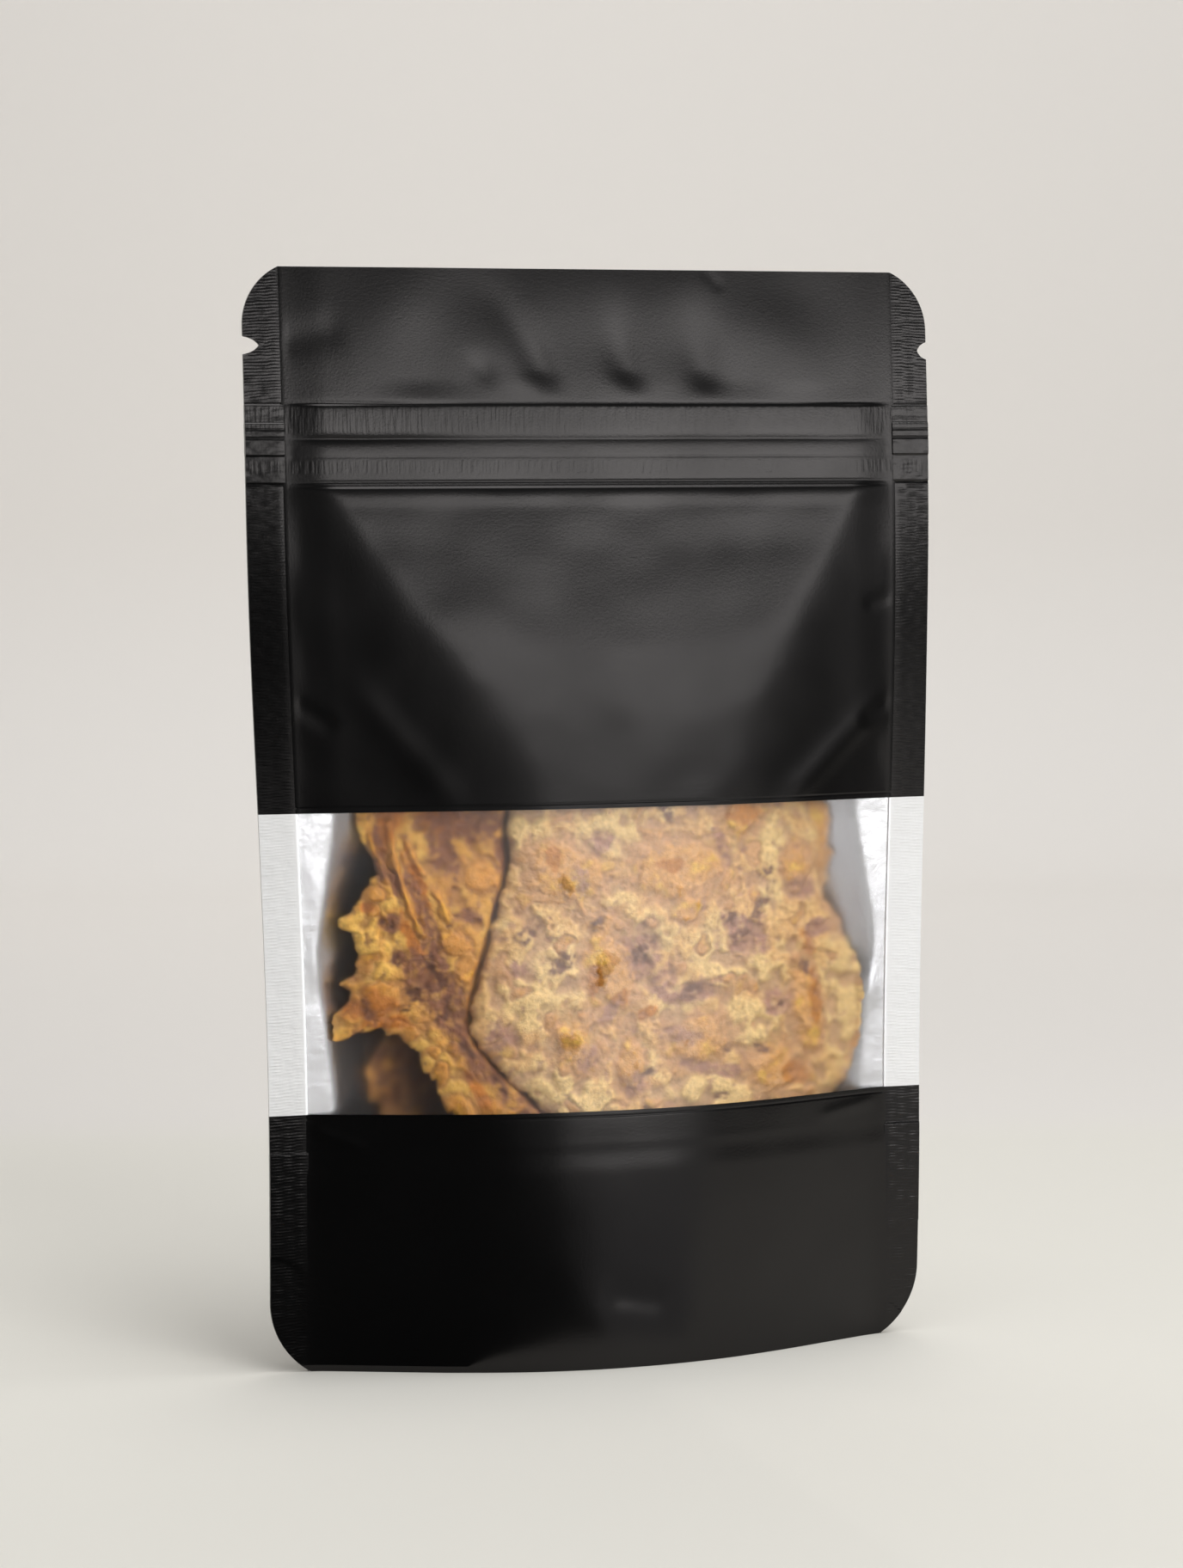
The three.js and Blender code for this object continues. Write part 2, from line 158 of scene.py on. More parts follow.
def through(stations, place):
    """A smooth curve through (place, value) stations: between two of them a cubic whose slope
    at each station is that of the line through its neighbours."""
    at, value = np.array(stations, float).T
    last = len(at) - 1
    low = np.maximum(np.arange(last + 1) - 1, 0)
    high = np.minimum(np.arange(last + 1) + 1, last)
    slope = (value[high] - value[low]) / (at[high] - at[low])
    place = np.clip(place, at[0], at[-1])
    i = np.clip(np.searchsorted(at, place, side="right") - 1, 0, last - 1)
    span = at[i + 1] - at[i]
    t = (place - at[i]) / span
    ease = t * t * (3 - 2 * t)
    bend = t * (1 - t) ** 2 * slope[i] - t * t * (1 - t) * slope[i + 1]
    return value[i] * (1 - ease) + value[i + 1] * ease + span * bend


def steps(*spans):
    """Evenly spaced values over several spans, each given as (from, to, count)."""
    parts = [np.linspace(start, end, count, endpoint=False) for start, end, count in spans]
    return np.append(np.concatenate(parts), spans[-1][1])


def noise(x, z, size, seed):
    """Soft noise between about -1 and 1: each corner of a square lattice `size` apart has a
    random slope, and the slopes of the four corners round a point are blended there."""
    turn = np.random.default_rng(seed).uniform(0, 2 * math.pi, (256, 256))
    u = x / size + 91.3
    v = z / size + 47.7
    i = np.floor(u).astype(int)
    j = np.floor(v).astype(int)
    a = u - i
    b = v - j

    def corner(di, dj):
        angle = turn[(i + di) % 256, (j + dj) % 256]
        return np.cos(angle) * (a - di) + np.sin(angle) * (b - dj)

    ea = a ** 3 * (a * (6 * a - 15) + 10)
    eb = b ** 3 * (b * (6 * b - 15) + 10)
    low = corner(0, 0) * (1 - ea) + corner(1, 0) * ea
    high = corner(0, 1) * (1 - ea) + corner(1, 1) * ea
    return 1.5 * (low * (1 - eb) + high * eb)


def layered(x, z, size, seed, layers=3):
    """Noise with finer and fainter noise on top, each layer half the size and 0.55 as strong."""
    total = 0.0
    for k in range(layers):
        total = total + 0.55 ** k * noise(x, z, size / 2 ** k, seed + k)
    return total


def grains(x, z, size, seed):
    """Rounded grains packed side by side: one random point in each cell of a lattice, and the
    height falls from 1 at the nearest point to 0 where two grains meet."""
    random = np.random.default_rng(seed)
    offset_x, offset_z = random.uniform(0.1, 0.9, (2, 128, 128))
    u = x / size + 31.7
    v = z / size + 77.1
    i = np.floor(u).astype(int)
    j = np.floor(v).astype(int)
    nearest = np.full(np.shape(u), 9.0)
    for di in (-1, 0, 1):
        for dj in (-1, 0, 1):
            m = i + di
            n = j + dj
            du = u - m - offset_x[m % 128, n % 128]
            dv = v - n - offset_z[m % 128, n % 128]
            nearest = np.minimum(nearest, du * du + dv * dv)
    return clamp01(1 - nearest / 0.6)


# ---- meshes ---------------------------------------------------------------------------


def grid_faces(at):
    """Four-cornered faces of a grid of point numbers, anticlockwise in columns then rows."""
    corners = [at[:-1, :-1], at[:-1, 1:], at[1:, 1:], at[1:, :-1]]
    return np.stack(corners, axis=-1).reshape(-1, 4)


def sheet(outer, inner):
    """Closes two grids of points, (rows, columns, 3) each, into a thin skin: the outer grid,
    the inner one turned round, and a strip round the four borders. Gives the points, the
    faces, and for each face 0 on the outer side, 1 on the inner one and 2 on the strip."""
    rows, columns = outer.shape[:2]
    o = np.arange(rows * columns).reshape(rows, columns)
    n = o + rows * columns
    borders = [
        (o[0], n[0]),
        (o[:, -1], n[:, -1]),
        (o[-1, ::-1], n[-1, ::-1]),
        (o[::-1, 0], n[::-1, 0]),
    ]
    strips = [np.stack([a[:-1], b[:-1], b[1:], a[1:]], axis=-1) for a, b in borders]
    front = grid_faces(o)
    faces = np.concatenate([front, grid_faces(n)[:, ::-1], *strips])
    points = np.concatenate([outer.reshape(-1, 3), inner.reshape(-1, 3)])
    side = np.full(len(faces), 2)
    side[: 2 * len(front)] = 1
    side[: len(front)] = 0
    return points, faces, side


def join(parts):
    """Puts several (points, faces, side) triples together as one."""
    start = np.cumsum([0] + [len(points) for points, _, _ in parts])
    return (
        np.concatenate([points for points, _, _ in parts]),
        np.concatenate([faces + first for first, (_, faces, _) in zip(start, parts)]),
        np.concatenate([side for _, _, side in parts]),
    )


def make_mesh(name, points, face_lists, materials, material_index=None, sharp=50):
    """A smooth-shaded mesh from points in millimetres and lists of faces. Edges bent by more
    than `sharp` degrees stay crisp."""
    mesh = bpy.data.meshes.new(name)
    mesh.vertices.add(len(points))
    mesh.vertices.foreach_set("co", (points * MM).astype(np.float32).ravel())
    counts = np.concatenate([np.full(len(faces), faces.shape[1]) for faces in face_lists])
    corners = np.concatenate([faces.ravel() for faces in face_lists])
    mesh.loops.add(len(corners))
    mesh.loops.foreach_set("vertex_index", corners.astype(np.int32))
    mesh.polygons.add(len(counts))
    mesh.polygons.foreach_set("loop_start", (np.cumsum(counts) - counts).astype(np.int32))
    for material in materials:
        mesh.materials.append(material)
    if material_index is not None:
        mesh.polygons.foreach_set("material_index", material_index.astype(np.int32))
    mesh.update(calc_edges=True)
    mesh.validate()
    mesh.shade_smooth()
    mesh.set_sharp_from_angle(angle=math.radians(sharp))
    return mesh


def add_object(name, data):
    """Puts a mesh, a lamp or a camera into the scene."""
    thing = bpy.data.objects.new(name, data)
    bpy.context.scene.collection.objects.link(thing)
    return thing


def add_piece(name, mesh, slot, *replaced):
    """Puts a mesh into the scene as a piece of the pouch."""
    piece = add_object(name, mesh)
    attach(piece, BODY)
    if replaced:
        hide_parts(*replaced)
    return piece


def add_stage(name, points, material):
    """Puts a grid of points, (rows, columns, 3), into the scene as a sheet of the stage."""
    at = np.arange(points.size // 3).reshape(points.shape[:2])
    piece = add_object(name, make_mesh(name, points.reshape(-1, 3), [grid_faces(at)], [material]))
    return piece


def stack(x, y, z):
    """Points from their coordinates, spread over one grid."""
    return np.stack(np.broadcast_arrays(x, y, z), axis=-1)


# ---- the pouch's surfaces ---------------------------------------------------------------

DRAWN_FROM = 137  # height where the sides start to draw in
DRAWN_TO = 38  # and below which the width is the foot's

# Stations (height, value): how far a panel swells at its middle, the share of its half width
# that curls down to the seal, and how wide a margin beside the seal stays level
FRONT_CREST = (
    (0, 12.2), (40.3, 10.5), (86.7, 5.3), (112, 2.75), (126, 1.35), (133, 0.85), (136.1, 0.62),
    (136.95, 0), (137.6, 0),
)
BACK_CREST = ((0, 11.4), (40.3, 9.4), (86.7, 6.6), (136.9, 0))
CURL_LEFT = ((0, 1), (40.3, 0.94), (86.7, 0.78), (100, 0.66), (116, 0.43), (136.9, 0.13))
CURL_RIGHT = (
    (0, 1), (40.3, 0.94), (75, 0.79), (88, 0.59), (98, 0.51), (106, 0.44), (116, 0.36), (126, 0.24),
    (136.9, 0.12),
)
BACK_CURL = ((0, 0.62), (40.3, 0.58), (86.7, 0.38), (100, 0.40), (116, 0.34), (136.9, 0.13))
NO_MARGIN = ((0, 0), (137, 0))
BACK_MARGIN = (
    (0, 3), (40, 4.2), (52, 3.2), (64, 2), (75, 3.8), (87, 5.4), (105, 3), (137, 1),
)
CREASE_SOFTNESS = 0.07  # of the crease where the flat fan meets the curl

# How a panel fills: the curl's share on the left and on the right, its power, and the margin
FRONT_FILL = (CURL_LEFT, CURL_RIGHT, 1.35, NO_MARGIN)
BACK_FILL = (BACK_CURL, BACK_CURL, 1.15, BACK_MARGIN)

# Stations (height, value): how far back a side seal turns for each millimetre outwards
SEAL_TURN = ((0, 0.05), (40, 0.02), (86, 0.07), (112, 0.13), (135, 0.05), (150, 0), (170, 0))
SEAL_HALF = 0.28  # half the thickness of the welded films
PANEL_DEPTH = 0.42  # how far a panel stands off the seals' plane inside them
SEALS_AT = -1.1  # y of the side seals at mid height
HEADER_LEAN = 3.2  # how far they lean back at the top edge
FOOT_LEAN = 1.9  # and at the foot
GUSSET_PLY = 0.15  # what the folded gusset adds to each side
GUSSET_SEAM = 6  # height of its seam in the middle of the foot
GUSSET_CREST = 23  # and of its fold there
GUSSET_FLANGE = (0.4, 0.15)  # its run past the arch, whose half is 1, and its lowest height
GUSSET_GAP = 0.12  # air between the gusset and a panel
RIB_ROWS = 5  # rows of the mesh for each rib
TOP_CORNER = (10, 9.03)  # radius, and how far its centre lies below the top edge
FOOT_CORNER = (13, 11.1)  # radius, and how far its centre lies above the foot
NOTCH_HEIGHT = 2.7
NOTCHES = {-1: (158, 2.5), 1: (157.6, 1.5)}  # side: height and depth of the tear notch
PUNCH = (54, 10.5, 8)  # x, z and radius of the round mark at each foot corner
HEADER_PUFF = 0.16  # how far the film above the zip stands out
ZIP_RISE = 0.24  # and the zip band
ZIP_GROOVE = 143.75  # heights of the lines along the band
ZIP_LINE = 141
ZIP_PROFILES = (139.5, 147)  # heights between which its stiff profiles run
ZIP_CRUSHED = (141.1, 146.3)  # and between which the seals crush them flat
ZIP_MARKS = ((143.9, 0.16, 1), (145.2, 0.14, 0.6))  # lines there: height, half width, strength

# Upright dents above the zip: stations (z, x) up the dent, half width at its foot, depth
HEADER_DENTS = (
    (((150.6, -7), (159, -10.6), (169, -16)), 2.5, 0.25),
    (((151.3, -16.6), (158.5, -19)), 1.6, 0.12),
    (((150.6, 7), (157, 4.6), (169, 3.4)), 2.5, 0.23),
    (((150.6, 18.6), (157, 17.2), (169, 16.4)), 2.6, 0.20),
)

# Straight soft folds: start (x, z), end (x, z), half width, height (outwards is positive)
FRONT_FOLDS = (
    ((-41, 108), (-22, 86), 2.4, 0.16),
    ((48.5, 104), (27, 84.5), 2.4, 0.34),
    ((49.6, 119.5), (43, 117), 1.2, -0.07),
    ((49.2, 103), (42, 98.5), 1.2, -0.14),
    ((-49.6, 104.5), (-41, 99), 1.4, -0.12),
    ((17.5, 171), (21.5, 166.5), 0.8, -0.05),
    ((-52, 158), (-38, 161), 2.6, -0.08),
    ((-47.2, 38.4), (-37.5, 34.6), 0.7, 0.28),
    ((-46.5, 31), (-36, 33.2), 0.9, -0.20),
    ((46.5, 38.6), (33, 36.4), 1, 0.12),
    ((-44, 35.2), (44, 35.4), 0.7, 0.02),
    ((-3.5, 12.4), (8.5, 10), 2.4, -0.42),
)
BACK_FOLDS = (
    ((-47, 118), (-14, 92), 3.2, 0.60),
    ((47, 122), (20, 90), 3, 0.55),
    ((-46, 60), (-30, 74), 2.2, -0.45),
    ((46, 52), (33, 71), 2.4, -0.45),
    ((-46.5, 37), (46.5, 37.4), 0.5, 0.10),
    ((-24, 150.5), (-15, 163), 2.2, -0.40),
    ((12, 150.5), (20, 165), 2, -0.35),
)

PANELS = {-1: (FRONT_CREST, FRONT_FILL, FRONT_FOLDS), 1: (BACK_CREST, BACK_FILL, BACK_FOLDS)}


def fold_relief(x, z, folds):
    """Sum of soft folds: each is a bell across its line that fades out at both ends."""
    total = 0.0
    for (x0, z0), (x1, z1), half, height in folds:
        run = math.hypot(x1 - x0, z1 - z0)
        along = ((x - x0) * (x1 - x0) + (z - z0) * (z1 - z0)) / run ** 2
        across = ((x - x0) * (z1 - z0) - (z - z0) * (x1 - x0)) / run
        fade = smooth(along / 0.3) * smooth((1 - along) / 0.3)
        total = total + height * fade * bell(across / half)
    return total


class Form:
    """The pouch's surfaces in millimetres, worked out from the sizes."""

    def __init__(self, sizes):
        for name in PouchSizes.__annotations__:
            setattr(self, name, getattr(sizes, name) / MM)

    def half_width(self, z):
        """Half the width, eased from the full width at the zip to the foot's."""
        drawn = smooth((DRAWN_FROM - z) / (DRAWN_FROM - DRAWN_TO))
        return (self.width + (self.foot_width - self.width) * drawn) / 2

    def pocket_half(self, z):
        """Half the width between the side seals."""
        return self.half_width(z) - self.seal_width

    def seal_plane(self, z):
        """y of the side seals' middle: the header and the foot's corners lean back."""
        header = HEADER_LEAN * clamp01((z - 100) / 70) ** 2
        foot = FOOT_LEAN * clamp01((40 - z) / 40) ** 2
        return header + foot + SEALS_AT

    def seal_turn(self, x, z):
        """How far back a side seal is turned at x: nothing at its inner edge and more outwards,
        strongest beside the fan."""
        out = np.maximum(0, np.abs(x) - self.pocket_half(z))
        return out * through(SEAL_TURN, z)

    def edge(self, z, side):
        """Outer edge of a side seal: the half width, cut by an arc at each corner and by the
        tear notch, whose flank is a quadratic curve from the edge to its round tip."""
        reach = self.half_width(z)
        for (radius, drop), beyond in ((TOP_CORNER, z - self.height), (FOOT_CORNER, -z)):
            beyond = np.clip(beyond + drop, 0, radius)
            reach = reach - radius + np.sqrt(radius ** 2 - beyond ** 2)
        notch_z, depth = NOTCHES[side]
        t = np.linspace(1, 0, 40)
        flank = (1 - t) ** 2 + 1.6 * t * (1 - t)
        cut = 1.4 * t * (1 - t) + t * t
        away = np.abs(z - notch_z) / (NOTCH_HEIGHT / 2)
        return reach - depth * np.interp(away, flank, cut, right=0)

    def swell(self, x, z, crest, fill):
        """How far a filled panel stands out: the crest's height over a flat fan that hangs from
        the zip and narrows downwards, and beside it a curl down to the seals."""
        left, right, steepness, margin = fill
        reach = self.pocket_half(z) - through(margin, z)
        share = through(left, z)
        share = share + (through(right, z) - share) * smooth((x + 15) / 30)
        t = np.maximum(0, reach - np.abs(x)) / (reach * share)
        q = clamp01(t - CREASE_SOFTNESS * np.log1p(np.exp((t - 1) / CREASE_SOFTNESS)))
        crease = 0.75 * smooth((z - 60) / 35)
        curl = (2 - crease) * q - (1 - crease) * q * q
        return through(crest, z) * curl ** steepness

    def base(self, x, z):
        """Half the gap between the panels before they swell: the welded films at the seals, a
        little more inside them and below the gusset's fold."""
        inside = self.pocket_half(z) - np.abs(x)
        flat = SEAL_HALF + (PANEL_DEPTH - SEAL_HALF) * smooth(inside / 7)
        tucked = 0.05 * smooth(-inside / 0.5)
        return flat - tucked + GUSSET_PLY * smooth((self.gusset_fold - z) / 4)

    def zip_relief(self, x, z):
        """A band that stands out a little, with a groove where its two profiles lock, a faint
        line below it, and a fine groove along the upper edge that is deeper on the left."""
        band = smooth((z - self.zip_bottom + 0.6) / 0.6) * smooth((self.zip_top - z + 0.4) / 0.8)
        drift = 0.5 * noise(x, 0 * z, 9.0, 51)
        left = smooth((-12 - x) / 30)
        lock = z - ZIP_GROOVE - 0.12 * drift
        groove = (0.085 + 0.10 * left + 0.03 * drift) * tent(lock / 0.62)
        line = 0.02 * (1 + drift) * tent((z - ZIP_LINE) / 0.18)
        crevice = (0.030 + 0.10 * left + 0.02 * drift) * tent((z - self.zip_top) / 0.26)
        return ZIP_RISE * band - groove - line - crevice

    def header_dents(self, x, z):
        """Upright dents that run down to the zip, each a bell across that widens upwards and
        fades at both ends, with broad noise between them."""
        dents = 0.0
        for stations, half, depth in HEADER_DENTS:
            low, high = stations[0][0], stations[-1][0]
            up = clamp01((z - low) / (high - low))
            fade = smooth((z - low + 0.5) / 4.5) * (1 - smooth(1.3 * up - 0.3))
            across = (x - through(stations, z)) / (half * (1 + 0.4 * up))
            dents = dents + depth * fade * bell(across)
        return dents + 0.16 * noise(x, z, 15.0, 5) * smooth((z - self.zip_top) / 4)

    def pinch(self, x, z):
        """Beside each seal the zip's stiff profiles end, and the film is drawn in, wrinkled."""
        inside = self.pocket_half(z) - np.abs(x)
        low, high = ZIP_PROFILES
        end = smooth((z - low) / 1.5) * smooth((high - z) / 2)
        wrinkle = 1 + 0.6 * noise(x, z, 1.3, 57)
        return 0.22 * end * wrinkle * bell(inside - 0.6)

    def print_line(self, z):
        """A fine groove in the film just beyond each edge of the clear band."""
        return 0.05 * (
            bell((z - self.window_top - 0.8) / 0.12) + bell((z - self.window_bottom + 0.8) / 0.12)
        )

    def face(self, x, z, side):
        """y of a panel's outer face, as far off the seals' plane as its parts add up to. side
        is -1 for the front panel, whose header dents go in, and 1 for the back."""
        crest, fill, folds = PANELS[side]
        inward = self.pocket_half(z) - np.abs(x)
        inside = smooth(inward / 2.5)
        lip = HEADER_PUFF * smooth((z - self.zip_top + 0.4) / 0.8)
        relief = (self.zip_relief(x, z) - self.pinch(x, z)) * smooth((inward + 0.5) / 7)
        relief = relief + (lip + side * self.header_dents(x, z)) * smooth(inward / 18)
        body = smooth((self.zip_bottom - z) / 6)
        wave = 0.10 * layered(x, z, 17.0, 11, 2) * body * inside
        depth = self.base(x, z) + self.swell(x, z, crest, fill) + relief + wave
        depth = depth + fold_relief(x, z, folds) * smooth(inside * 3) - self.print_line(z)
        return self.seal_plane(z) + self.seal_turn(x, z) + side * depth

    def seal_relief(self, x, z, side):
        """How far a face of a side seal stands off its plane: fine ribs in three slightly
        shifted columns, flattened where the zip was crushed, less the round punch mark."""
        inside = np.abs(x) - self.pocket_half(z)
        column = np.floor(inside / 1.95 + 0.12 * noise(z, 0 * z, 9.0, 3))
        shift = 0.37 * column + 0.5 * noise(x, z, 5.0, 21 + side) + 0.2 * noise(x, z, 1.4, 23)
        ribs = 0.5 + 0.5 * np.cos(2 * math.pi * (z / self.rib_pitch + shift))
        broken = clamp01(0.55 + 0.9 * noise(x, 1.4 * z, 1.3, 29 + side))
        zip_end = smooth((self.zip_top - z) / 0.2) * smooth((z - self.zip_bottom) / 0.2)
        smooth_strip = smooth((inside - 0.5) / 0.5)
        rib = self.rib_height * ribs * broken * smooth_strip * (1 - 0.85 * zip_end)
        low, high = ZIP_CRUSHED
        block = smooth((high - z) / 0.25) * smooth((z - low) / 0.25)
        marks = (*ZIP_MARKS, (self.zip_top, 0.16, 1), (self.zip_bottom, 0.16, 1))
        lines = sum(strength * bell((z - height) / half) for height, half, strength in marks)
        crushed = zip_end * (0.10 + 0.20 * block + 0.03 * noise(x, z, 0.9, 31)) - 0.09 * lines
        step = GUSSET_PLY * smooth((self.gusset_fold - z) / 0.3)
        under = 0.05 * (1 - smooth(inside / 0.8))
        centre_x, centre_z, radius = PUNCH
        away = np.hypot(np.abs(x) - centre_x, z - centre_z)
        punched = 0.12 * smooth((radius - away) / 0.25) * smooth((inside - 0.5) / 0.4)
        return SEAL_HALF + rib + crushed + step - punched - under


# ---- materials ------------------------------------------------------------------------


def tinted(tone, by):
    """A colour whose red, green and blue are multiplied by three numbers."""
    return [part * share for part, share in zip(tone, by)]


class Shader:
    """Adds shader nodes to one material: an input given as another node's output is linked,
    and any other input is set on the socket itself."""

    def __init__(self, name):
        self.material = bpy.data.materials.new(name)
        self.material.use_nodes = True
        self.tree = self.material.node_tree
        self.tree.nodes.clear()
        self.place = self.add("ShaderNodeTexCoord").outputs["Object"]

    def add(self, kind, inputs=None, **settings):
        node = self.tree.nodes.new(kind)
        for name, value in settings.items():
            setattr(node, name, value)
        for name, value in (inputs or {}).items():
            if isinstance(value, bpy.types.NodeSocket):
                self.tree.links.new(value, node.inputs[name])
            elif node.inputs[name].type == "RGBA":
                node.inputs[name].default_value = (*value[:3], 1)
            else:
                node.inputs[name].default_value = value
        return node

    def attribute(self, name):
        return self.add("ShaderNodeAttribute", attribute_name=name).outputs["Fac"]

    def noise(self, size, detail=3.0, rough=0.55, stretch=None):
        """Noise whose largest blots are about `size` metres across, from 0 to 1."""
        place = self.place
        if stretch:
            place = self.add("ShaderNodeMapping", {"Vector": place, "Scale": stretch}).outputs[0]
        inputs = {"Vector": place, "Scale": 1 / size, "Detail": detail, "Roughness": rough}
        return self.add("ShaderNodeTexNoise", inputs).outputs["Fac"]

    def along(self, direction):
        """Distance along a direction, in metres."""
        inputs = {0: self.place, 1: direction}
        return self.add("ShaderNodeVectorMath", inputs, operation="DOT_PRODUCT").outputs["Value"]

    def ramp(self, value, low, high, start=0.0, end=1.0):
        """start while the value is under low, end when it is over high, smooth between."""
        inputs = {"Value": value, "From Min": low, "From Max": high, "To Min": start, "To Max": end}
        node = self.add("ShaderNodeMapRange", inputs, interpolation_type="SMOOTHSTEP")
        return node.outputs["Result"]

    def math(self, operation, first, second):
        node = self.add("ShaderNodeMath", {0: first, 1: second}, operation=operation)
        return node.outputs[0]

    def mix(self, share, first, second, blend="MIX"):
        """Mixes two colours, each an output or a colour."""
        inputs = {0: share, 6: first, 7: second}
        node = self.add("ShaderNodeMix", inputs, data_type="RGBA", blend_type=blend)
        return node.outputs[2]

    def bump(self, height, depth, normal=None):
        """Tilts the normals as a relief of that height would, `depth` metres deep."""
        inputs = {"Height": height, "Distance": depth}
        if normal:
            inputs["Normal"] = normal
        return self.add("ShaderNodeBump", inputs).outputs["Normal"]

    def surface(self, kind, inputs):
        """Ends the material with a shader of that kind."""
        self.add("ShaderNodeOutputMaterial", {"Surface": self.add(kind, inputs).outputs[0]})
        return self.material


# Heights in metres of the zip band's hatched strips: each fades in between the first two and
# out between the last two
HATCHED = ((0.1444, 0.1450, 0.1484, 0.1489), (0.1383, 0.1387, 0.1402, 0.1406))


def black_film(colours):
    """Matte black laminate: a soft sheen with fine tooth, a little uneven, and fine upright
    hatching on the zip band from the rollers that press it."""
    s = Shader("matte_black_film")
    tooth = s.noise(0.00035, 2.0)
    drift = s.noise(0.02, 2.0)
    height = s.add("ShaderNodeSeparateXYZ", {"Vector": s.place}).outputs["Z"]
    strips = [
        s.math("MULTIPLY", s.ramp(height, low, full), s.ramp(height, high, fade))
        for low, full, fade, high in HATCHED
    ]
    hatch = s.noise(0.0006, 1.0, stretch=(1.0, 0.1, 0.12))
    relief = s.math("MULTIPLY", s.math("SUBTRACT", hatch, 0.5), s.math("ADD", *strips))
    fine = s.bump(tooth, 0.000010)
    normal = s.bump(relief, 0.00004, normal=fine)
    return s.surface("ShaderNodeBsdfPrincipled", {
        "Base Color": s.mix(drift, colours.film, tinted(colours.film, (1.35, 1.35, 1.35))),
        "Roughness": s.ramp(drift, 0.3, 0.7, 0.23, 0.27),
        "Specular IOR Level": 0.38,
        "Specular Tint": (1.0, 0.95, 0.935),
        "Normal": normal,
    })


def foil(name, tint, rough, metal):
    """Silver foil with a soft sheen, crinkled a little."""
    s = Shader(name)
    crinkle = s.noise(0.004, 3.0)
    tooth = s.noise(0.0003, 2.0)
    normal = s.bump(tooth, 0.000006, normal=s.bump(crinkle, 0.00012))
    return s.surface("ShaderNodeBsdfPrincipled", {
        "Base Color": s.mix(crinkle, tint, tinted(tint, (0.93, 0.93, 0.93))),
        "Metallic": metal,
        "Roughness": rough,
        "Normal": normal,
    })


def frosted_film(colours):
    """Clear film with a frosted face: it blurs what lies behind it, more so the deeper it is,
    and lets the lamps through."""
    s = Shader("frosted_clear_film")
    glass = s.add("ShaderNodeBsdfPrincipled", {
        "Base Color": colours.clear,
        "Transmission Weight": 1.0,
        "Roughness": 0.26,
        "IOR": 1.42,
        "Specular Tint": (0.65, 0.65, 0.65),
        "Normal": s.bump(s.noise(0.00016, 1.0), 0.00004),
    })
    clear = s.add("ShaderNodeBsdfTransparent", {"Color": (0.93, 0.93, 0.93)})
    shadow = s.add("ShaderNodeLightPath").outputs["Is Shadow Ray"]
    inputs = {0: shadow, 1: glass.outputs[0], 2: clear.outputs[0]}
    return s.surface("ShaderNodeMixShader", inputs)


def fried_cookie(name, colours, tint, crust):
    """Fried banana batter: golden dough with pale crumb, soft orange fruit, hollows painted
    darker brown, partly as browning and partly as shade, and clusters of dark specks, laid by
    the mesh's own masks and broken up by noise. The crumb is painted darker in its hollows and
    lighter on its peaks, as shade and highlight. Dough and fruit are multiplied by `tint`, and
    the browned parts by `crust`."""
    s = Shader(name)
    fine = s.noise(0.0007, 5.0, 0.7)
    broad = s.noise(0.0052, 3.0)
    hue = s.noise(0.0036, 2.0)
    crumb = s.attribute("crumb")

    def patch(mask, low, high, jitter, thinned=0.0):
        """A mask of the mesh, its edge broken by the fine noise, and thinned on the crumb's
        peaks."""
        loose = s.math("MULTIPLY", s.math("SUBTRACT", fine, 0.5), jitter)
        value = s.math("ADD", s.attribute(mask), loose)
        value = s.math("SUBTRACT", value, s.math("MULTIPLY", crumb, thinned))
        return s.ramp(value, low, high)

    warm = tinted(colours.dough, (1.02, 0.93, 0.98))
    base = s.mix(s.ramp(broad, 0.35, 0.65), warm, colours.dough)
    base = s.mix(patch("flour", 0.0, 1.0, 0.3), base, colours.flour)
    # the crumb's peaks turn paler: partly the pale crumb's own colour, partly painted highlight
    base = s.mix(s.ramp(crumb, 0.2, 0.9, 0.0, 0.30), base, colours.flour)
    rosy = tinted(colours.fruit, (1.06, 1.14, 1.55))
    soft = s.mix(s.ramp(hue, 0.38, 0.55), rosy, colours.fruit)
    soft = s.mix(s.ramp(hue, 0.52, 0.66), soft, colours.ripe)
    base = s.mix(patch("fruit", 0.1, 0.9, 0.5), base, soft)
    base = s.mix(patch("caramel", 0.1, 0.9, 0.7), base, colours.caramel)
    base = s.mix(1.0, base, tint, "MULTIPLY")
    toast = tinted(colours.toast, crust)
    scorch = tinted(colours.scorch, crust)
    # painted shade, partly browning: the hollows, the deepest parts of the relief, turn towards
    # toast
    base = s.mix(s.math("MULTIPLY", patch("hollow", 0.1, 1.0, 0.45), 0.62), base, toast)
    base = s.mix(patch("toast", 0.05, 0.85, 0.7, 0.15), base, toast)
    base = s.mix(patch("scorch", 0.1, 0.95, 0.8, 0.15), base, scorch)
    # painted shade and highlight: darker in the crumb's hollows, lighter on its peaks, times a
    # random tone from the fine noise
    light = s.ramp(crumb, 0.0, 0.8, 0.84, 1.05)
    shade = s.math("MULTIPLY", s.ramp(fine, 0.25, 0.75, 0.74, 1.22), light)
    tone = s.add("ShaderNodeCombineColor", {"Red": shade, "Green": shade, "Blue": shade})
    base = s.mix(1.0, base, tone.outputs[0], "MULTIPLY")
    normal = s.bump(s.noise(0.00035, 3.0, 0.6), 0.00010, normal=s.bump(fine, 0.00012))
    return s.surface("ShaderNodeBsdfPrincipled", {
        "Base Color": base,
        "Roughness": s.ramp(s.attribute("fruit"), 0.3, 0.7, 0.60, 0.42),
        "Specular IOR Level": 0.4,
        "Subsurface Weight": 0.10,
        "Subsurface Radius": (1.0, 0.45, 0.15),
        "Subsurface Scale": 0.0010,
        "Normal": normal,
    })


# ---- the cookies ----------------------------------------------------------------------


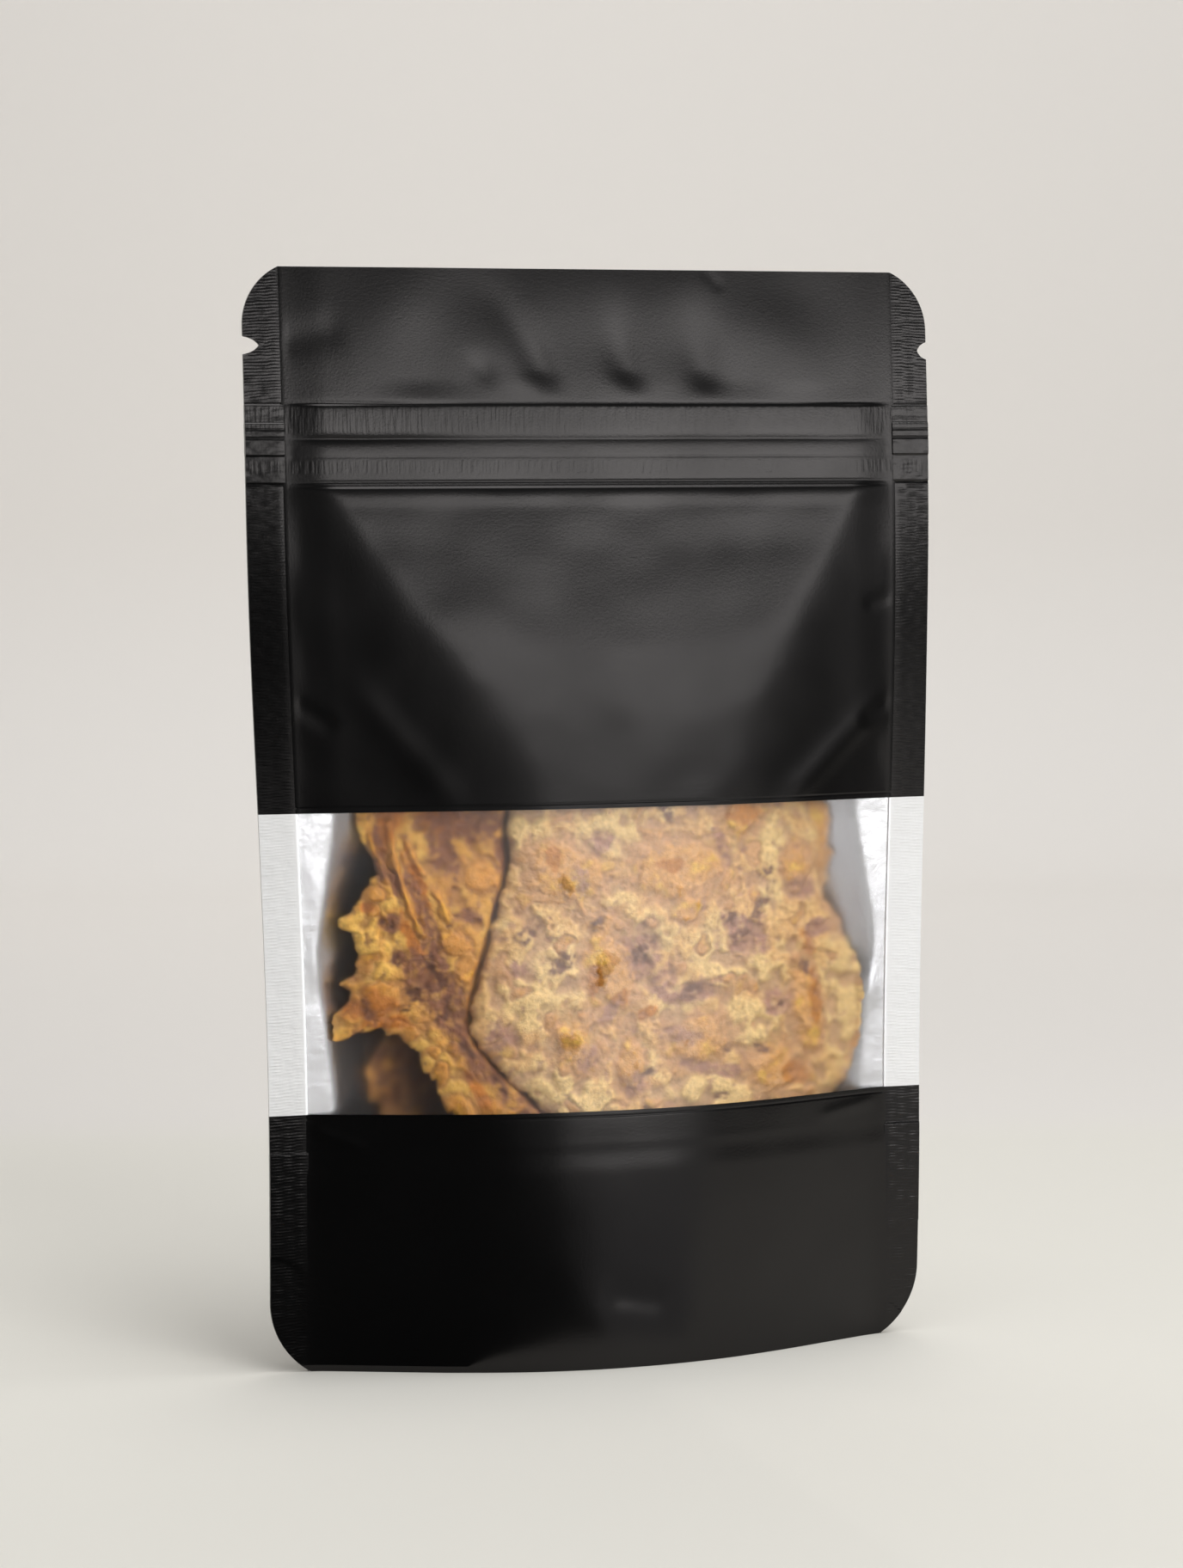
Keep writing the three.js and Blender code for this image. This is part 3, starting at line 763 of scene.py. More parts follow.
def closed_curve(points, turn):
    """A closed smooth curve through points, at shares `turn` of the way round: between two
    points a cubic whose slopes are half the chords between their neighbours."""
    knots = np.array(points, float)
    where = (turn % 1.0) * len(knots)
    i = where.astype(int) % len(knots)
    t = (where - np.floor(where))[..., None]
    before, start, end, after = (knots[(i + k) % len(knots)] for k in (-1, 0, 1, 2))
    leave = (end - before) / 2
    arrive = (after - start) / 2
    return (
        (2 * t ** 3 - 3 * t ** 2 + 1) * start + (t ** 3 - 2 * t ** 2 + t) * leave
        + (3 * t ** 2 - 2 * t ** 3) * end + (t ** 3 - t ** 2) * arrive
    )


def disc(count):
    """A square grid bent into a disc: each square ring of the grid becomes a round one. Gives
    the share of the way from the middle to the rim, and the share of a full turn."""
    u = np.linspace(-1, 1, count + 1)
    a, b = np.meshgrid(u, u)
    across = np.abs(a) >= np.abs(b)
    wide = np.where(across, a, b)
    ratio = np.where(across, b, -a) / np.where(wide == 0, 1, wide) / 8
    turn = ratio + np.where(across, 0.0, 0.25) + np.where(wide < 0, 0.5, 0.0)
    return np.abs(wide), turn


def blot(x, z, spots, seed, ragged=0.35):
    """Soft ovals with ragged rims, 1 in the middle and 0 outside: a smooth fall with the
    distance from each middle, measured in its own half widths and changed by noise."""
    total = np.zeros(np.shape(x))
    wobble = ragged * layered(x, z, 2.6, seed)
    for centre_x, centre_z, half_x, half_z, *turned in spots:
        angle = math.radians(sum(turned))
        c, s = math.cos(angle), math.sin(angle)
        u = ((x - centre_x) * c + (z - centre_z) * s) / half_x
        v = ((z - centre_z) * c - (x - centre_x) * s) / half_z
        total = np.maximum(total, smooth((1.6 - np.hypot(u, v) + wobble) / 1.1))
    return total


def strands(x, z, lines):
    """Rounded strands: each runs through its (x, z) stations from top to bottom, with a half
    width. 1 along its middle, falling to 0 at its flanks."""
    total = np.zeros(np.shape(x))
    for stations, half in lines:
        rising = sorted((station_z, station_x) for station_x, station_z in stations)
        centre = through(rising, z)
        low, high = rising[0][0], rising[-1][0]
        fade = smooth((z - low + half) / (2 * half)) * smooth((high + half - z) / (2 * half))
        across = (x - centre) / (half * (1 + 0.8 * noise(x, z, 1.8, 83)))
        total = np.maximum(total, fade * clamp01(1 - across ** 2) ** 0.7)
    return total


# Places are (x, z), except that FRONT_RIM, the front cookie's left rim, holds (z, x). A cookie
# lies "depth" behind the front film, or at "layer", a share of the way from the front film to
# the back one. The patches of its colours are ovals: the middle (x, z), half the width and
# height, and the degrees it is turned by, if any.
FRONT_RIM = ((39, -10), (48, -19), (54, -22.2), (69, -18.2), (78, -15.4), (86, -14.8), (95, -8))

COOKIE_GAP = 0.25  # air left between a cookie and the back film
THINNEST = 0.9  # least thickness of a cookie

# What a cookie has where its own entry says nothing else
PLAIN_COOKIE = {
    "ragged": 0.04, "swell": 0.5, "furrows": 0.0, "strand_height": 0.0, "deep": False,
    "fruit": (), "caramel": (), "flour": (), "toast": (), "scorch": (), "strands": (),
}

FRONT_COOKIE = {
    "node": "cookie_front",
    "centre": (9.5, 62),
    "rim": (
        (43.2, 55), (40.5, 66), (36.5, 73), (35.5, 86), (26, 95), (8, 97), (-8, 95), (-14.8, 86),
        (-15.4, 78), (-18.2, 69), (-22.2, 54), (-19, 48), (-10, 39), (2, 30), (20, 28), (39, 40),
    ),
    "thickness": 4.2,
    "seed": 100,
    "grid": 240,
    # against the film, its right edge curling away
    "depth": lambda x, z: 0.12 + 1.3 * smooth((x - 18) / 26) + 0.5 * smooth((z - 76) / 12),
    "ragged": 0.018,
    "swell": 0.45,
    "fruit": (
        (11.2, 76.8, 7.6, 4.6, -5), (12.3, 70.6, 2.6, 2.2), (-0.8, 62.5, 4.2, 7.2, 8),
        (33, 54, 2.8, 7.5, 10), (-7.5, 77, 4.5, 6.5, 70), (22.2, 85, 3.4, 3.2),
        (-6.5, 50.5, 3.2, 4.6, 30), (13.5, 50.5, 5.6, 3.6, 15), (26.5, 45, 4.4, 4),
        (2, 47, 2.4, 4.4), (31.5, 76.5, 2.6, 4),
    ),
    "caramel": (
        (34.5, 55.5, 1.1, 3.6, 5), (22, 85.3, 2.4, 1.5), (10, 77.5, 2.2, 1),
        (0.6, 57.4, 1.6, 1, 40), (5, 55, 1.6, 0.8, 20), (30.5, 44, 2.6, 1.6), (-9, 79, 1.2, 2, 20),
        (33.5, 64, 1, 2.2, 20), (-3.4, 60, 1, 2),
    ),
    "flour": (
        (-13, 83.5, 3.6, 5), (-12, 57.5, 6, 4, 20), (-9.5, 64.5, 6, 3.4, 10), (5, 67, 5, 3.5),
        (22.6, 52.4, 5, 4.2), (9.9, 56.8, 3.8, 2.6), (26.6, 72.2, 2.2, 3.4), (0, 83, 5.5, 3.6, 10),
        (24, 60, 5.2, 3.2, -20), (16.5, 64, 4, 5), (-8, 42.5, 8, 3.4, -20), (14, 42.5, 8, 2.4),
        # the last oval is painted light: it brightens the right lobe, which curls away from the
        # film
        (28, 80, 3, 4.6), (40, 55, 4, 9.5),
    ),
    "toast": (
        (-15.6, 61.9, 1.8, 1.5), (-5, 76, 1.4, 2.4, 20), (-1, 81.3, 2.6, 1.6), (32.5, 72.8, 2.6, 2),
        (27.4, 55.2, 2.6, 2), (4.2, 64.2, 3.2, 4.4, 20), (-0.7, 55.2, 2.4, 1.2, 50),
        (12.2, 57.8, 4, 2, 10), (2.6, 44, 2.2, 2), (18.5, 80.5, 1.2, 3, 20),
        (21.8, 66.5, 4.4, 3.4, -20), (-5, 48.5, 2.4, 1.6, 30), (15.5, 45.8, 6, 1.2, -12),
        (-18, 52, 2, 3), (35, 66.5, 2.4, 1.6), (10.5, 51.2, 4, 1.6, -10), (8, 59.5, 2.2, 3, 10),
    ),
    "scorch": (
        (-13.2, 67.6, 2.2, 1.4, 20), (-8.4, 63, 2.9, 1.5, 15), (-2.4, 69, 1.5, 1.1, 30),
        (4.6, 64.2, 1.5, 2, 20), (6.5, 66.5, 1.2, 1.2), (21.6, 66.4, 2.2, 1.5, -35),
        (25.4, 71, 3.4, 1, 55), (26.4, 76.2, 1, 0.8), (12.4, 57.7, 2, 1, 10),
        (24.6, 48.2, 1.5, 0.8, -10), (18.4, 48.8, 0.9, 0.7), (32.6, 60.4, 0.9, 1.4),
        (9.6, 85.6, 0.9, 2.2, 35), (5, 46, 1.9, 0.6, 45), (16.9, 41.4, 1.3, 0.8),
        (27.5, 55.4, 1, 0.8), (19, 69, 1.4, 0.8, 20),
    ),
}

LEFT_COOKIE = {
    "node": "cookie_left",
    "centre": (-22, 66),
    "rim": (
        (-4, 62), (-6, 78), (-12, 92), (-25, 98), (-37, 92), (-38.6, 84.5), (-35.6, 78.5),
        (-37.4, 74.2), (-40.2, 71.6), (-42.2, 69.2), (-39.6, 67.8), (-38.9, 63.4), (-39.4, 61.6),
        (-41, 60.2), (-40.2, 57.4), (-43.2, 54.6), (-42.2, 51.6), (-36.8, 53.2), (-32.4, 51.6),
        (-29, 47.6), (-25.5, 40), (-16, 31), (-6, 44),
    ),
    "thickness": 3.4,
    "seed": 200,
    "grid": 215,
    # against the film on its left, dipping behind the front cookie's left rim
    "depth": lambda x, z: (
        0.15 + 4.4 * smooth((x - through(FRONT_RIM, z) + 1.7) / 2.8) + 1.4 * smooth((z - 72) / 14)
    ),
    "ragged": 0.05,
    "swell": 0.6,
    "furrows": 0.35,
    "strand_height": 0.4,
    "deep": True,
    "fruit": (
        (-36, 58, 4.2, 2.4, 15), (-32.2, 52.8, 2.4, 1.5, -20), (-26.9, 46.4, 1.2, 1.8),
        (-24.4, 40.6, 3, 2.6), (-20.2, 76.5, 2.8, 2.4), (-24.6, 66.4, 2.4, 1.8, -30),
        (-22.6, 62.6, 1.7, 2.6), (-36, 74, 1.4, 1.2), (-19.8, 41, 1.8, 1.6), (-18.6, 64.5, 1.2, 3),
    ),
    "caramel": (
        (-37, 56.6, 3.6, 2.2, 20), (-37.6, 72, 1.6, 0.8, 30), (-33.4, 87, 2, 4),
        (-34.5, 54.4, 3, 1), (-31, 67.6, 1, 3.4, 25), (-29.6, 76, 0.7, 4.4, 20),
        (-25.4, 86, 3.4, 3), (-21.4, 43.4, 1, 3, 30), (-34.8, 83, 0.9, 3),
    ),
    "flour": (
        (-38.2, 68.4, 1.9, 3.4), (-37.6, 65, 2, 2.6), (-36.2, 62, 2.4, 2), (-42.3, 54, 1.3, 1.5),
        (-33.4, 66.5, 1.6, 3), (-34, 72.6, 1.8, 1), (-32.6, 80, 1, 2.6), (-24.6, 43, 1.8, 3.4),
        (-38.2, 83, 1, 1.4), (-23.4, 65, 1.6, 1.6), (-28.6, 79.4, 0.8, 1.4, 20),
        (-31.4, 52.4, 2, 1.2, -20), (-28.6, 49.6, 2.4, 1.8, -40), (-25.8, 44.6, 2, 3.6, 15),
        (-41.4, 70, 1, 1.4),
    ),
    "toast": (
        (-34, 69.6, 2, 1.6), (-32.8, 64.4, 1.4, 1.8), (-28.8, 61, 3.4, 4.6, 15),
        (-22.9, 50.6, 9.5, 2.2, -55), (-12, 41, 5.4, 3.4, -45), (-27.4, 64.5, 1.7, 5, 20),
        (-30.4, 74.6, 0.9, 4.6, 18), (-28, 69.6, 0.9, 4.4, 20), (-22, 84.5, 7.5, 3.4),
        (-25.6, 80, 2.6, 4.6, 15), (-15.8, 79, 2, 6, 10), (-22.4, 70.8, 1.8, 1.4),
        (-17.4, 71, 1.2, 3.6, 10), (-35.2, 79.8, 1, 5), (-37.6, 56, 0.8, 2, 10),
        (-25.6, 57.4, 2.4, 3.6, -20), (-24, 54.6, 2, 2.4), (-33, 76, 0.8, 3, 15),
    ),
    "scorch": (
        (-34.2, 69.6, 1, 0.7), (-33, 64.2, 0.7, 0.9), (-28.4, 64, 1, 1.9, 25),
        (-31.2, 59, 1.8, 1.2, 20), (-28.8, 58.8, 1.5, 1.4), (-26.6, 60.4, 0.8, 1.6, 20),
        (-27, 55.4, 2, 0.9, -15), (-32.4, 56.6, 1.4, 0.7), (-24.6, 54.6, 0.7, 1.6, 40),
        (-18, 44.4, 0.8, 2.6, 42), (-23.6, 50.8, 0.7, 2.4, 40), (-25.4, 57.2, 1, 1.4),
    ),
    "strands": (
        (((-33.6, 86), (-33.2, 80), (-32.4, 75.8), (-31, 71.5), (-29, 67)), 0.9),
        (((-31.4, 82.6), (-30.2, 79.6), (-28.6, 76.4)), 0.8),
        (((-27.6, 75), (-26.4, 72.6), (-25.4, 69.4)), 1),
        (((-36.8, 83.5), (-35.6, 79), (-34.4, 75.5)), 0.9),
    ),
}

REAR_LEFT_COOKIE = {
    "node": "cookie_back_left",
    "centre": (-14, 56),
    "rim": (
        (18, 56), (12, 76), (-10, 85), (-24, 72), (-31, 56), (-37, 44), (-28, 34), (-8, 30),
        (12, 36),
    ),
    "thickness": 3.4,
    "seed": 300,
    "grid": 90,
    "layer": 0.74,
    "deep": True,
    "fruit": ((-34.5, 43.5, 3, 2),),
    "flour": ((-35.5, 43.5, 2.4, 1.6),),
    "toast": ((-22, 50, 14, 14),),
    "scorch": ((-26, 46, 14, 12),),
}

REAR_RIGHT_COOKIE = {
    "node": "cookie_back_right",
    "centre": (18, 80),
    "rim": (
        (38.5, 79), (36, 92), (28, 101), (14, 102), (3, 94), (-1, 80), (4, 66), (16, 59), (28, 60),
        (35, 67),
    ),
    "thickness": 3.2,
    "seed": 400,
    "grid": 90,
    "layer": 0.44,
    "fruit": ((35, 82, 4, 7),),
}

COOKIES = {
    "front_cookie": FRONT_COOKIE,
    "left_cookie": LEFT_COOKIE,
    "rear_left_cookie": REAR_LEFT_COOKIE,
    "rear_right_cookie": REAR_RIGHT_COOKIE,
}


def cookie_masks(x, z, spec):
    """The masks of a cookie, each from 0 to 1: its own blots and strands, over the rest a
    scatter of smaller ones from noise, soft hollows round the slices, and the crumb's peaks
    from two sizes of grains."""
    seed = spec["seed"]
    ribs = strands(x, z, spec["strands"])
    fruit = np.maximum(blot(x, z, spec["fruit"], seed + 1, 0.3), 0.9 * ribs)
    scatter = layered(x, z, 4.6, seed + 5, 2)
    fruit = np.maximum(fruit, 0.8 * smooth((scatter - 0.25) / 0.45))
    flour = blot(x, z, spec["flour"], seed + 2, 0.4)
    flour = np.maximum(flour, 0.7 * smooth((-scatter - 0.10) / 0.6)) * (1 - 0.7 * fruit)
    specks = layered(x, z, 2.1, seed + 6)
    mottle = smooth(layered(x, z, 1.4, seed + 16) + 0.65)
    toast = blot(x, z, spec["toast"], seed + 3, 0.4) * (0.60 + 0.40 * mottle)
    toast = np.maximum(toast, 0.60 * smooth((specks - 0.35) / 0.5)) * (1 - 0.3 * fruit)
    scorch = blot(x, z, spec["scorch"], seed + 4, 0.45) * (0.40 + 0.55 * mottle)
    swirl = layered(x, z, 4.2, seed + 17, 2)
    hollow = 0.9 * smooth((0.15 - swirl) / 0.7) * (1 - 0.7 * fruit)
    hollow = np.maximum(hollow, 2.8 * fruit * (1 - fruit))
    hollow = np.maximum(hollow, spec["furrows"] * (1 - ribs) * smooth((x + 36) / 4))
    coarse = grains(x, z, 1.0, seed + 13)
    fine = grains(x, z, 0.52, seed + 14)
    crumb = (0.55 * coarse + 0.45 * fine) * (1 - 0.6 * fruit)
    return {
        "fruit": fruit, "flour": flour, "caramel": blot(x, z, spec["caramel"], seed + 10, 0.5),
        "hollow": clamp01(hollow), "toast": toast, "scorch": scorch, "crumb": crumb,
    }


def cookie_relief(x, z, masks, spec):
    """How far the cookie's face lies under its highest lumps, in millimetres: broad swells,
    hollows between the lumps and at the dark specks, crumb, raised slices and strands."""
    seed = spec["seed"]
    fruit = masks["fruit"]
    relief = spec["swell"] * (0.5 - 0.5 * layered(x, z, 9.0, seed + 11, 2))
    relief = relief + 0.80 * masks["hollow"] - 0.30 * fruit
    relief = relief + 0.12 * (0.8 - masks["crumb"]) * (1 - 0.7 * fruit)
    relief = relief - 0.26 * layered(x, z, 2.6, seed + 15, 2)
    relief = relief + 0.15 * masks["scorch"] + 0.15 * masks["toast"]
    ribs = strands(x, z, spec["strands"])
    return relief + spec["strand_height"] * (1 - ribs)


def cookie_piece(form, name, spec, material):
    """A ragged flat cookie. Its front is a square grid bent into a disc and stretched out to
    the rim, and follows the panel's film at the cookie's own depth. Its back is rings that
    shrink from the rim to a middle point."""
    centre = np.array(spec["centre"], float)

    def place(share, turn):
        """The point a share of the way from the middle to the rim, whose edge is ragged."""
        rim = closed_curve(spec["rim"], turn)
        away = spec["ragged"] * layered(rim[..., 0], rim[..., 1], 3.0, spec["seed"] + 9, 3)
        spoke = (rim - centre) * (1 + away * share ** 6)[..., None]
        point = centre + spoke * share[..., None]
        return point[..., 0], point[..., 1]

    def depths(x, z):
        """y of the cookie's highest lumps and of its back at a place."""
        skin = form.face(x, z, -1) + form.film
        wall = form.face(x, z, 1) - form.film - COOKIE_GAP
        if "layer" in spec:
            outer = skin + (wall - skin) * spec["layer"]
        else:
            outer = skin + spec["depth"](x, z)
        outer = np.minimum(outer, wall - THINNEST)
        return outer, np.minimum(outer + spec["thickness"], wall)

    def faces_at(share, x, z, masks):
        """y of the front and of the back, both curled to the rim's middle at the edge."""
        outer, inner = depths(x, z)
        relief = cookie_relief(x, z, masks, spec)
        middle = outer + 0.6 * (inner - outer)
        edge = np.sqrt(np.maximum(0, 1 - share ** 14))
        front = middle + (np.minimum(outer + relief, middle) - middle) * edge
        return front, middle + (inner - middle) * edge

    share, turn = disc(spec["grid"])
    x, z = place(share, turn)
    masks = cookie_masks(x, z, spec)
    front, _ = faces_at(share, x, z, masks)
    grid = np.arange(share.size).reshape(share.shape)
    border = np.concatenate([grid[0, :-1], grid[:-1, -1], grid[-1, :0:-1], grid[:0:-1, 0]])

    ring_share = np.array([0.997, 0.98, 0.93, 0.82, 0.64, 0.42, 0.2])[:, None]
    ring_turn = turn.ravel()[border][None, :]
    ring_share, ring_turn = np.broadcast_arrays(ring_share, ring_turn)
    ring_x, ring_z = place(ring_share, ring_turn)
    ring_masks = cookie_masks(ring_x, ring_z, spec)
    _, back = faces_at(ring_share, ring_x, ring_z, ring_masks)
    rings = share.size + np.arange(back.size).reshape(back.shape)
    rings = np.concatenate([border[None, :], rings])
    rings = np.concatenate([rings, rings[:, :1]], axis=1)
    first, second = rings[:-1], rings[1:]
    strips = [first[:, :-1], second[:, :-1], second[:, 1:], first[:, 1:]]
    pole = share.size + back.size
    cap = [rings[-1, :-1], np.full(len(border), pole), rings[-1, 1:]]
    faces = [
        np.concatenate([grid_faces(grid), np.stack(strips, axis=-1).reshape(-1, 4)]),
        np.stack(cap, axis=-1),
    ]
    pole_place = centre[:, None]
    pole_masks = cookie_masks(pole_place[0], pole_place[1], spec)
    _, pole_back = faces_at(np.zeros(1), pole_place[0], pole_place[1], pole_masks)
    points = np.concatenate([
        stack(x, front, z).reshape(-1, 3),
        stack(ring_x, back, ring_z).reshape(-1, 3),
        stack(pole_place[0], pole_back, pole_place[1]),
    ])
    mesh = make_mesh(name, points, faces, [material], sharp=80)
    for key in masks:
        layer = mesh.attributes.new(key, "FLOAT", "POINT")
        parts = [each[key].ravel() for each in (masks, ring_masks, pole_masks)]
        layer.data.foreach_set("value", np.concatenate(parts).astype(np.float32))
    return add_piece(name, mesh, "cookie", spec["node"])


# ---- operators: one for each group of pieces -------------------------------------------


def panel(form, rows, columns, side):
    """A panel of film between the seals: its outer face on a grid whose columns lie closer
    beside the seals, and an inner face one film further in. side is -1 for the front panel
    and 1 for the back."""
    z = rows[:, None]
    reach = np.minimum(form.pocket_half(z) + 0.5, form.edge(z, -1) - 0.1)
    u = np.linspace(-1, 1, columns)[None, :]
    x = -side * u * (1.15 - 0.15 * u * u) * reach
    y = form.face(x, z, side)
    return sheet(stack(x, y, z), stack(x, y - side * form.film, z))


class Maker:
    """Hands the form and the colours to a maker of pieces."""

    def execute(self, context):
        self.build(Form(context.scene.pouch_sizes), context.scene.pouch_colours)
        return {"FINISHED"}


class POUCH_OT_films(Maker, Operator):
    """Makes the black front and back panels with their foil lining"""

    bl_idname = "pouch.films"
    bl_label = "Films"

    def build(self, form, colours):
        films = [black_film(colours), foil("foil_lining", colours.lining, 0.20, 1.0)]
        top, bottom = form.window_top, form.window_bottom
        below_zip, above_zip = form.zip_bottom - 2.2, form.zip_top + 1
        upper = steps(
            (top, top + 1.6, 14), (top + 1.6, below_zip, 84), (below_zip, above_zip, 124),
            (above_zip, form.height, 40),
        )
        lower = steps((0, bottom - 1.6, 74), (bottom - 1.6, bottom, 14))
        whole = steps(
            (0, below_zip, 112), (below_zip, above_zip, 60), (above_zip, form.height, 20),
        )
        jobs = (
            ("front_film_upper", upper, 160, -1, ("pouch",)),
            ("front_film_lower", lower, 150, -1, ()),
            ("back_film", whole, 120, 1, ()),
        )
        for name, rows, columns, side, replaced in jobs:
            points, faces, layer = panel(form, rows, columns, side)
            mesh = make_mesh(name, points, [faces], films, layer == 1)
            add_piece(name, mesh, "black_film", *replaced)


class POUCH_OT_window(Maker, Operator):
    """Makes the frosted clear film between the side seals"""

    bl_idname = "pouch.window"
    bl_label = "Window"

    def build(self, form, colours):
        rows = steps((form.window_bottom, form.window_top, 86))
        points, faces, _ = panel(form, rows, 150, -1)
        mesh = make_mesh("window_film", points, [faces], [frosted_film(colours)])
        add_piece("window_film", mesh, "clear_film", "window")


class POUCH_OT_seals(Maker, Operator):
    """Makes the ribbed side seals: black, and silver where the clear band crosses them"""

    bl_idname = "pouch.seals"
    bl_label = "Side seals"

    def build(self, form, colours):
        black = black_film(colours)
        silver = foil("foil_seal", colours.foil, 0.48, 0.22)
        bands = (
            ("seals_lower", 0.0, form.window_bottom, black, "black_film"),
            ("seals_window", form.window_bottom, form.window_top, silver, "clear_film"),
            ("seals_upper", form.window_top, form.height, black, "black_film"),
        )
        for name, low, high, front, slot in bands:
            count = int((high - low) * RIB_ROWS / form.rib_pitch)
            z = np.linspace(low, high, count)[:, None]
            parts = []
            for side in (-1, 1):
                inner = form.pocket_half(z)
                outer = np.maximum(form.edge(z, side), inner + 0.05)
                share = np.linspace(0, 1, 11)[None, :]
                x = side * (inner + (outer - inner) * share)
                if side < 0:
                    x = x[:, ::-1]
                relief = form.seal_relief(x, z, side)
                plane = form.seal_plane(z) + form.seal_turn(x, z)
                parts.append(sheet(stack(x, plane - relief, z), stack(x, plane + relief, z)))
            points, faces, layer = join(parts)
            mesh = make_mesh(name, points, [faces], [front, black], layer == 1)
            add_piece(name, mesh, slot)


class POUCH_OT_gusset(Maker, Operator):
    """Makes the folded bottom film that opens into the foot"""

    bl_idname = "pouch.gusset"
    bl_label = "Gusset"

    def build(self, form, colours):
        half = 0.97 * form.pocket_half(0.0)
        x = np.linspace(-half, half, 150)[None, :]
        wide, low = GUSSET_FLANGE
        v = steps((-1 - wide, -1, 14), (-1, 1, 44), (1, 1 + wide, 14))[:, None]
        side = clamp01(np.abs(x) / form.pocket_half(0.0))
        seam = GUSSET_SEAM + (form.gusset_fold - GUSSET_SEAM) * side ** 4
        crest = GUSSET_CREST + (form.gusset_fold - GUSSET_CREST) * side ** 2
        arch = seam + (crest - seam) * np.cos(math.pi / 2 * clamp01(np.abs(v)))
        z = arch + (low - seam) * clamp01((np.abs(v) - 1) / wide)
        front = form.face(x, z, -1) + form.film + GUSSET_GAP
        back = form.face(x, z, 1) - form.film - GUSSET_GAP
        share = clamp01((v + 1) / 2)
        y = front + (back - front) * share
        # the outer, black side faces down into the recess, so columns run from right to left
        outer = stack(x, y, z)[:, ::-1]
        arched = np.abs(v) <= 1
        aside = np.where(arched, 0, np.sign(v) * form.film)
        inner = outer + stack(0 * x, aside, np.where(arched, form.film, 0))
        points, faces, layer = sheet(outer, inner)
        films = [black_film(colours), foil("foil_gusset", colours.lining, 0.30, 1.0)]
        mesh = make_mesh("gusset_film", points, [faces], films, np.minimum(layer, 1))
        add_piece("gusset_film", mesh, "black_film")


class POUCH_OT_cookies(Maker, Operator):
    """Makes the four fried banana cookies"""

    bl_idname = "pouch.cookies"
    bl_label = "Cookies"

    def build(self, form, colours):
        golden = fried_cookie("golden_fried_batter", colours, (1, 1, 1), (1, 1, 1))
        # The cookies on the left take a darker, warmer copy of the batter with darker browned
        # parts: partly their own colour, partly painted shade.
        dark = fried_cookie("dark_fried_batter", colours, colours.deep, (0.64, 0.47, 0.33))
        for name, own in COOKIES.items():
            spec = {**PLAIN_COOKIE, **own}
            cookie_piece(form, name, spec, dark if spec["deep"] else golden)


CAMERA_PLACE = (-0.1604, -0.5782, 0.1311)
CAMERA_YAW = math.radians(15.42)  # to the right of +Y
CAMERA_PITCH = math.radians(3.92)  # downwards
CAMERA_ROLL = math.radians(-0.44)
CAMERA_LENS = 88.32
LAMPS = (
    # the setting of its power, place, size, and whether films and foil mirror it
    ("sheen", (0.42, -1.236, 0.24), (0.57, 0.29), True),
    ("fill", (0.42, -1.25, 0.75), (0.85, 0.85), False),
    ("top", (0.30, -0.25, 1.5), (1.2, 1.2), True),
)
AIM = (0.0, 0.0, 0.09)
BLACK = (0, 0, 0)
LYING = ((25, 1), (250, 1), (470, 1))
SHORT = ((520, 60), (520, 80))
TALL = ((520, 60), (520, 580), (520, 1100))
FLAGS = (
    # name, from and to in degrees right of -Y, its profile as (distance, height) from the
    # table upwards, its colour, and True where the films mirror it or False where the foil
    # inside the clear band does
    ("left_flag", -100, 2, (*LYING, *TALL), BLACK, True),
    ("right_flag", 38, 100, ((460, 1), *TALL), BLACK, True),
    ("table_flag", 2, 38, LYING, (0.52, 0.52, 0.53), True),
    ("low_flag", -20, 50, ((300, 85), (300, 140)), BLACK, True),
    ("inner_left_flag", -100, -14, (*LYING, *SHORT), (1, 1, 1), False),
    ("inner_right_flag", 50, 110, (*LYING, *SHORT), (0.13, 0.085, 0.065), False),
)


